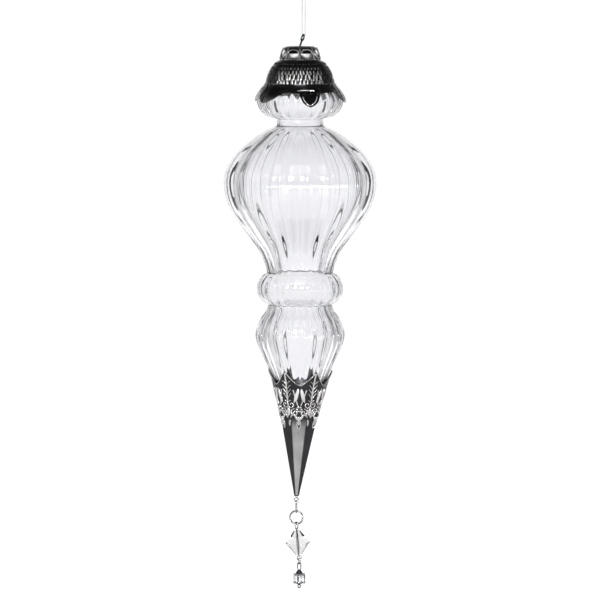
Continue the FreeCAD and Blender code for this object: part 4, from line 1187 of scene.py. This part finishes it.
@dataclass
class FiligreeCone(SubAssembly):
    """The cone on the glass's point: leaf tips, scrolls and rosettes over a plain faceted taper."""

    body: str = "ornament"
    mouth: Vector = field(default_factory=lambda: Vector((-2.0 * MM, 0.0, -207.32 * MM)))
    lean: float = 1.75
    sectors: int = 6
    length: float = 63.2 * MM
    mouth_radius: float = 14.85 * MM
    tip_radius: float = 1.3 * MM
    leaf_rise: float = 6.2 * MM
    leaf_radius: float = 17.45 * MM
    notch: float = -1.4 * MM
    wall: float = 0.5 * MM
    bore: float = 0.37 * MM
    facets: int = 8
    worked: float = -25.0 * MM
    lift: float = 0.05 * MM
    levels: tuple[float, ...] = (
        0.0, 1.5, 3.0, 5.0, 7.5, 10.0, 13.0, 16.0, 20.0, 25.0, 32.0, 40.0, 48.0, 55.0, 60.0, 62.6)

    def build(self) -> None:
        """Make the shell and the raised work on it, then lean them together."""
        shell = self._shell()
        work = self._raised_work()
        lean = Matrix.Translation(self.mouth) @ Matrix.Rotation(math.radians(self.lean), 4, "Y")
        for piece in (shell, work):
            piece.data.transform(lean)
        self.keep(shell, Finish.GUNMETAL, "dark_stamping", "cone_cap")
        self.keep(work, Finish.GUNMETAL, "dark_stamping")

    def _radius(self, height: float) -> float:
        """The cone's outer radius at a height over its mouth."""
        if height > 0:
            return between(self.mouth_radius, self.leaf_radius, height / self.leaf_rise)
        return between(self.mouth_radius, self.tip_radius, -height / self.length)

    def _edge(self, azimuth: float) -> float:
        """The height of the upper edge at an azimuth: pointed tips with round notches between."""
        sector = 360 / self.sectors
        share = abs((azimuth % sector) - sector / 2) / (sector / 2)
        return self.notch + (self.leaf_rise - self.notch) * (1 - share) ** 1.6

    def _shell(self) -> bpy.types.Object:
        """The thin cone, its upper edge drawn up into leaf tips and its taper softly faceted."""
        heights = [-drop * MM for drop in self.levels]
        outer = [(self._radius(height), height) for height in heights]
        outer.append((self.tip_radius * 0.8, -self.length))
        inner = [(self._radius(height) - self.wall, height) for height in reversed(heights[:-1])]
        tip = [(self.bore, -self.length), (self.bore, -self.length + 2 * self.wall)]
        shell = spun("cone_shell", outer + tip + inner, 144)
        for vertex in shell.data.vertices:
            azimuth = azimuth_of(vertex.co)
            height = vertex.co.z
            inside = math.hypot(vertex.co.x, vertex.co.y) < self._radius(height) - self.wall / 2
            if height > self.worked:
                rise = self._edge(azimuth) * ((height - self.worked) / -self.worked) ** 2.2
                vertex.co.z = height + rise
            flat = self._radius(height) * (1 - self._facet(azimuth)) * self._flatness(height)
            radius = self._radius(vertex.co.z) - (self.wall if inside else 0.0) - flat
            if height > -self.length + 2 * MM:
                vertex.co.x = max(radius, self.bore) * math.sin(math.radians(azimuth))
                vertex.co.y = -max(radius, self.bore) * math.cos(math.radians(azimuth))
        smoothed(shell, 14.0)
        # Painted highlight on every second facet of the taper.
        return give_wear_and_light(shell, self._painted_facet_highlight)

    def _facet(self, azimuth: float) -> float:
        """How far out the taper's flat facets lie at an azimuth, as a share of the round cone."""
        half = math.pi / self.facets
        angle = (math.radians(azimuth) + half) % (2 * half) - half
        return math.cos(half) / math.cos(angle)

    @staticmethod
    def _flatness(height: float) -> float:
        """How flat the facets are at a height: not at all in the raised work, fully on the taper."""
        return clamped((-height - 6 * MM) / (16 * MM))

    def _painted_facet_highlight(self, point: Vector) -> float:
        """Every second facet of the taper, the front one among them, is painted lighter as a painted
        highlight, the more so the further down.
        """
        azimuth = abs((azimuth_of(point) + 45) % 90 - 45)
        highlit_facet = clamped((23.5 - azimuth) / 2)
        return 0.36 * highlit_facet * clamped((self.worked - point.z + 3 * MM) / (4 * MM))

    def _on(self, azimuth: float, height: float) -> Vector:
        """A point just off the cone's surface."""
        radius = self._radius(height) * (1 - (1 - self._facet(azimuth)) * self._flatness(height))
        return on_ring(azimuth, radius + self.lift, height)

    def _raised_work(self) -> bpy.types.Object:
        """The lip, ribs, scrolls, rosettes and pendants, sector by sector."""
        lip = [self._on(a, self._edge(a) - 0.25 * MM) for a in range(0, 360, 4)]
        members = [give_wear_and_light(wire("lip", lip, 0.32 * MM, closed=True), lambda p: 0.6)]
        sector = 360 / self.sectors
        for number in range(self.sectors):
            notch = number * sector
            members += self._leaf_ribs(notch + sector / 2)
            members += self._notch_work(notch)
        return joined("cone_filigree", members)

    def _line(self, points: Sequence[tuple[float, float]], radius: float, shine: float) -> bpy.types.Object:
        """A raised wire along (azimuth, millimetres of height) points on the cone."""
        places = [self._on(azimuth, height * MM) for azimuth, height in points]
        return give_wear_and_light(wire("line", places, radius * MM), lambda p: shine)

    def _scroll(
        self, azimuth: float, height: float, side: int, size: float, turns: float
    ) -> bpy.types.Object:
        """A spiral scroll that winds in towards a centre.

        Args:
            azimuth: Where its centre is.
            height: The centre's height over the cone's mouth, in millimetres.
            side: Which way it winds, -1 or 1.
            size: Its outer radius, in millimetres.
            turns: How many turns it makes.

        Returns:
            The raised scroll.
        """
        steps = 16
        points = []
        for step in range(steps + 1):
            share = step / steps
            angle = 2 * math.pi * turns * share + math.pi / 2
            reach = size * (1 - 0.8 * share)
            across = side * reach * math.cos(angle)
            wide = math.degrees(across * MM / self._radius(height * MM))
            points.append((azimuth + wide, height + reach * math.sin(angle)))
        return self._line(points, 0.34, 0.75)

    def _leaf_ribs(self, azimuth: float) -> list[bpy.types.Object]:
        """The middle rib of a leaf tip, its slanting side ribs, two scrolls and a pendant."""
        ribs = [self._line([(azimuth, 5.2), (azimuth, 1.0), (azimuth, -4.0), (azimuth, -10.0)], 0.5, 0.6)]
        for side in (-1, 1):
            for drop in (0.0, 2.6, 5.2, 7.8):
                places = [
                    (azimuth, -1.5 - drop),
                    (azimuth + side * 5, 0.4 - drop),
                    (azimuth + side * 10, 0.8 - drop * 0.85),
                ]
                ribs.append(self._line(places, 0.36, 0.5))
            ribs.append(self._scroll(azimuth + side * 9, -12.2, side, 2.4, 1.25))
            ribs.append(self._leaf_boss(azimuth + side * 10, -18.0, side * 24, (0.7, 0.4, 2.2), 0.45))
        ribs.append(self._leaf_boss(azimuth, -16.2, 0, (1.1, 0.5, 3.0), 0.6))
        ribs.append(self._leaf_boss(azimuth, -22.4, 0, (0.7, 0.4, 2.2), 0.45))
        return ribs

    def _notch_work(self, azimuth: float) -> list[bpy.types.Object]:
        """Two upright leaves under a notch, a rosette, scrolls, side leaves and a long pendant."""
        work = []
        for side in (-1, 1):
            work.append(self._leaf_boss(azimuth + side * 7.5, -7.4, -side * 14, (1.15, 0.5, 4.6), 0.75))
            bar = [(azimuth + side * 15, -4.0), (azimuth + side * 11, -8.0), (azimuth + side * 4, -12.6)]
            work.append(self._line(bar, 0.42, 0.6))
            work.append(self._scroll(azimuth + side * 12.5, -16.6, -side, 2.3, 1.3))
            work.append(self._leaf_boss(azimuth + side * 7, -19.6, side * 28, (0.85, 0.45, 2.8), 0.6))
            tail = [(azimuth + side * 3, -21.0), (azimuth + side * 10, -22.5), (azimuth + side * 3, -25.5)]
            work.append(self._line(tail, 0.36, 0.5))
        rosette, reach = -14.8, 1.3
        for petal in range(6):
            angle = math.radians(60 * petal)
            wide = math.degrees(reach * MM * math.cos(angle) / self._radius(rosette * MM))
            height = rosette + reach * math.sin(angle)
            work.append(self._leaf_boss(azimuth + wide, height, 0, (0.7, 0.5, 0.7), 0.8))
        work.append(self._leaf_boss(azimuth, rosette, 0, (0.5, 0.75, 0.5), 0.3))
        work.append(self._leaf_boss(azimuth, -21.6, 0, (0.85, 0.45, 3.2), 0.6))
        return work

    def _leaf_boss(
        self, azimuth: float, height: float, tilt: float, size: tuple[float, float, float], shine: float
    ) -> bpy.types.Object:
        """A rounded leaf, bead or pendant set on the cone's surface.

        Args:
            azimuth: Where it is set.
            height: Its middle's height over the cone's mouth, in millimetres.
            tilt: How far it leans sideways, in degrees.
            size: Its half sizes across, outwards and upwards, in millimetres.
            shine: How worn it is, from 0 to 1.

        Returns:
            The boss in its place.
        """
        ball = boss("leaf_boss", tuple(half * MM for half in size))
        ball.data.transform(Matrix.Rotation(math.radians(tilt), 4, "Y"))
        return give_wear_and_light(self._seated(ball, azimuth, height), lambda point: shine)

    def _seated(self, ball: bpy.types.Object, azimuth: float, height: float) -> bpy.types.Object:
        """Set a boss on the cone's surface."""
        lean = Matrix.Rotation(math.atan2(self.mouth_radius, self.length), 4, "X")
        place = Matrix.Translation(self._on(azimuth, height * MM)) @ about_z(azimuth) @ lean
        ball.data.transform(place)
        return ball


@dataclass
class Chain(SubAssembly):
    """The eye on the point, where the chain starts."""

    body: str = "ornament"

    def build(self) -> None:
        """Carry over the eye with smooth shading."""
        self.smooth_twin("tip_eye", "point_eye", Finish.CHAIN_SILVER, "chain_silver")


@dataclass
class HungWire(SubAssembly):
    """A single wire piece of the chain that swings on a body of its own."""

    node: str = ""
    name: str = ""

    def build(self) -> None:
        """Carry the wire over with smooth shading."""
        self.smooth_twin(self.node, self.name, Finish.CHAIN_SILVER, "chain_silver")


@dataclass
class CrystalBead(SubAssembly):
    """The faceted bead, kept as crisp facets."""

    body: str = "bead"

    def build(self) -> None:
        """Merge the drilled bicone and keep its facets flat."""
        bead = self.smooth_twin("faceted_bead", "crystal_bead", Finish.CUT_CRYSTAL, "bead_crystal")
        smoothed(bead, 12.0)


@dataclass
class Charm(SubAssembly):
    """The square stone-set charm with its loops."""

    body: str = "charm"
    turn: float = 33.0
    claw: float = 0.38 * MM
    half_width: float = 1.75 * MM
    half_height: float = 2.0 * MM
    face: float = 2.4 * MM
    edge_beads: int = 7

    def build(self) -> None:
        """Carry over the setting, then add claws and beaded edges, and set the stones."""
        self.smooth_twin("charm_setting", "charm_frame", Finish.CHARM_SILVER, "chain_silver")
        self.smooth_twin("charm_stones", "charm_crystals", Finish.STONE, "white_stone")
        smoothed(self.pieces[-1][0], 12.0)
        low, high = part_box("charm_stones")
        centre = (low + high) / 2
        ball = give_wear_and_light(boss("claw_ball", (self.claw, self.claw, self.claw)), lambda point: 0.8)
        members = []
        for quarter in range(4):
            side = Matrix.Translation(centre) @ about_z(self.turn + 90 * quarter)
            for across in (-1, 1):
                for up in (-1, 1):
                    corner = Vector((across * self.half_width, -self.face - 0.15 * MM, up * self.half_height))
                    members.append(copied(ball, side @ Matrix.Translation(corner)))
            for step in range(self.edge_beads):
                along = between(-2.1, 2.1, step / (self.edge_beads - 1))
                for up in (-1, 1):
                    bead = Vector((along * MM, -2.2 * MM, up * 2.55 * MM))
                    members.append(copied(ball, side @ Matrix.Translation(bead) @ Matrix.Scale(0.72, 4)))
        discard(ball)
        self.keep(joined("charm_claws", members), Finish.CHARM_SILVER, "chain_silver")


# ------------------------------------------------------------------------------------------------
# Studio
# ------------------------------------------------------------------------------------------------


@dataclass(frozen=True)
class SoftLight:
    """A soft square light, placed by its azimuth in degrees and its height and reach in metres."""

    name: str
    azimuth: float
    height: float
    reach: float
    size: float
    watts: float

    def hang(self, aim: Vector) -> None:
        """Put the light in its place, turned to the point that it is aimed at."""
        data = bpy.data.lights.new(self.name, "AREA")
        data.size = self.size
        data.energy = self.watts
        lamp = bpy.data.objects.new(self.name, data)
        lamp.location = on_ring(self.azimuth, self.reach, self.height)
        lamp.rotation_mode = "QUATERNION"
        lamp.rotation_quaternion = (lamp.location - aim).to_track_quat("Z", "Y")
        lamp.visible_camera = False
        bpy.context.scene.collection.objects.link(lamp)


@dataclass
class Studio:
    """Pale floor, soft light, dark cards for the glass and the camera.

    Each card is given as (azimuth, half the angle that it takes up) and each spot by its azimuth, in degrees.
    """

    centre: Vector = field(default_factory=lambda: Vector((-2.03 * MM, 0.0, -163.75 * MM)))
    elevation: float = 4.5
    distance: float = 2.4
    seen_width: float = 0.3245
    floor_height: float = -0.43
    floor_size: float = 80.0
    backdrop: float = 225.0
    cards: tuple[tuple[float, float], ...] = (
        (209.0, 2.2), (227.0, 5.0), (245.0, 5.0), (151.0, 2.2), (133.0, 5.0), (115.0, 5.0), (312.0, 8.0))
    card_radius: float = 0.75
    card_height: float = 0.9
    ground_card: float = 0.3
    spots: tuple[float, ...] = (-56.0, -30.0, -8.0, 14.0, 34.0, 58.0)

    def build(self) -> None:
        """Set up everything that isn't part of the ornament."""
        self._camera()
        self._floor()
        self._world()
        self._cards()
        self._lights()
        bpy.context.scene.view_settings.view_transform = "Standard"

    def _camera(self) -> None:
        """A long lens, slightly above the ornament's middle."""
        data = bpy.data.cameras.new("camera")
        data.lens = data.sensor_width * self.distance / self.seen_width
        data.clip_end = 200.0
        camera = bpy.data.objects.new("camera", data)
        tilt = math.radians(self.elevation)
        back = Vector((0.0, -math.cos(tilt), math.sin(tilt)))
        camera.location = self.centre + back * self.distance
        camera.rotation_euler = (math.pi / 2 - tilt, 0.0, 0.0)
        bpy.context.scene.collection.objects.link(camera)
        bpy.context.scene.camera = camera

    def _floor(self) -> None:
        """A wide pale floor, slightly mottled."""
        deselect_all()
        bpy.ops.mesh.primitive_plane_add(size=self.floor_size, location=(0, 0, self.floor_height))
        floor = bpy.context.view_layer.objects.active
        floor.name = "studio_floor"
        material, nodes = new_material("pale_floor")
        mottle = nodes.noise(3.0)
        close_surface(
            nodes,
            Base_Color=nodes.blend(mottle, (0.93, 0.93, 0.93), (0.9, 0.9, 0.9)),
            Roughness=0.9,
            Specular_IOR_Level=0.1,
            Emission_Color=(1.0, 1.0, 1.0, 1.0),
            Emission_Strength=0.12,
        )
        floor.data.materials.append(material)

    def _world(self) -> None:
        """Soft white light all round, darker overhead."""
        world = bpy.data.worlds.new("soft_room")
        bpy.context.scene.world = world
        world.use_nodes = True
        nodes = Nodes(world.node_tree)
        direction = nodes.add("ShaderNodeTexCoord", output="Generated")
        side = self._towards(nodes, direction, on_ring(self.backdrop, 1.0, 0.0))
        up = self._towards(nodes, direction, Vector((0, 0, 1)))
        level = nodes.ramp(0.5 + 0.5 * side, [(0.35, (0.45, 0.45, 0.46)), (0.5, (1, 1, 1))])
        overhead = nodes.ramp(up, [(0.3, (0, 0, 0)), (0.62, (1, 1, 1))])
        colour = nodes.blend(overhead, level, (0.12, 0.12, 0.12))
        surface = nodes.add("ShaderNodeBackground", inputs={"Color": colour, "Strength": 1.02})
        nodes.add("ShaderNodeOutputWorld", inputs={"Surface": surface})

    @staticmethod
    def _towards(nodes: Nodes, direction: Value, aim: Vector) -> Value:
        """How far a direction points towards an aim, from -1 to 1."""
        inputs = {0: direction, 1: tuple(aim)}
        return nodes.add("ShaderNodeVectorMath", {"operation": "DOT_PRODUCT"}, inputs, output="Value")

    def _cards(self) -> None:
        """Dark cards round and under the ornament that show only in its glass and metal."""
        material, nodes = new_material("card_cloth")
        close_surface(nodes, Base_Color=(0.01, 0.01, 0.01, 1.0), Roughness=0.9, Specular_IOR_Level=0.0)
        stand = Matrix.Rotation(math.pi / 2, 4, "X")
        for azimuth, half_angle in self.cards:
            width = 2 * self.card_radius * math.tan(math.radians(half_angle))
            place = Matrix.Translation(on_ring(azimuth, self.card_radius, self.centre.z + 0.2))
            size = Matrix.Diagonal((width, self.card_height, 1.0, 1.0))
            self._card(place @ about_z(azimuth) @ stand @ size, material)
        under = Matrix.Translation((0, 0, self.floor_height + 0.01))
        self._card(under @ Matrix.Scale(self.ground_card, 4), material)

    def _card(self, place: Matrix, material: bpy.types.Material) -> None:
        """One dark card, shaped and placed by a matrix."""
        deselect_all()
        bpy.ops.mesh.primitive_plane_add(size=1.0)
        card = bpy.context.view_layer.objects.active
        card.name = "studio_card"
        card.data.transform(place)
        card.data.materials.append(material)
        for ray in ("camera", "diffuse", "shadow", "volume_scatter"):
            setattr(card, f"visible_{ray}", False)

    def _lights(self) -> None:
        """A row of small bright lights for the sparkle, a soft key and an overhead sun for the floor."""
        for number, azimuth in enumerate(self.spots):
            spot = SoftLight(f"spot_{number}", azimuth, height=-0.2, reach=1.3, size=0.085, watts=2.2)
            spot.hang(self.centre)
        SoftLight("key", -12.0, height=0.35, reach=1.4, size=0.4, watts=5.0).hang(self.centre)
        SoftLight("upper", 0.0, height=1.05, reach=1.15, size=0.8, watts=3.6).hang(self.centre)
        data = bpy.data.lights.new("overhead", "SUN")
        data.energy = 2.3
        data.angle = math.radians(70)
        sun = bpy.data.objects.new("overhead", data)
        sun.visible_glossy = False
        sun.visible_transmission = False
        bpy.context.scene.collection.objects.link(sun)


def main() -> None:
    """Build and dress every sub-assembly in order."""
    logging.basicConfig(level=logging.INFO, format="%(message)s")
    Studio().build()
    assemblies: list[SubAssembly] = [
        HangingLoop(),
        Hanger(),
        Crown(),
        Dome(),
        LeafSkirt(),
        GlassBody(),
        Adhesive(),
        FiligreeCone(),
        Chain(),
        HungWire(body="chain_link", node="tip_link", name="oval_link"),
        HungWire(body="chain_ring", node="jump_ring", name="large_ring"),
        HungWire(body="bead_wire", node="bead_pin", name="bead_eye_pin"),
        CrystalBead(),
        HungWire(body="charm_hoop", node="charm_ring", name="small_ring"),
        Charm(),
    ]
    for assembly in assemblies:
        assembly.build()
        assembly.dress()


if __name__ == "__main__":
    main()
    bpy.context.view_layer.update()
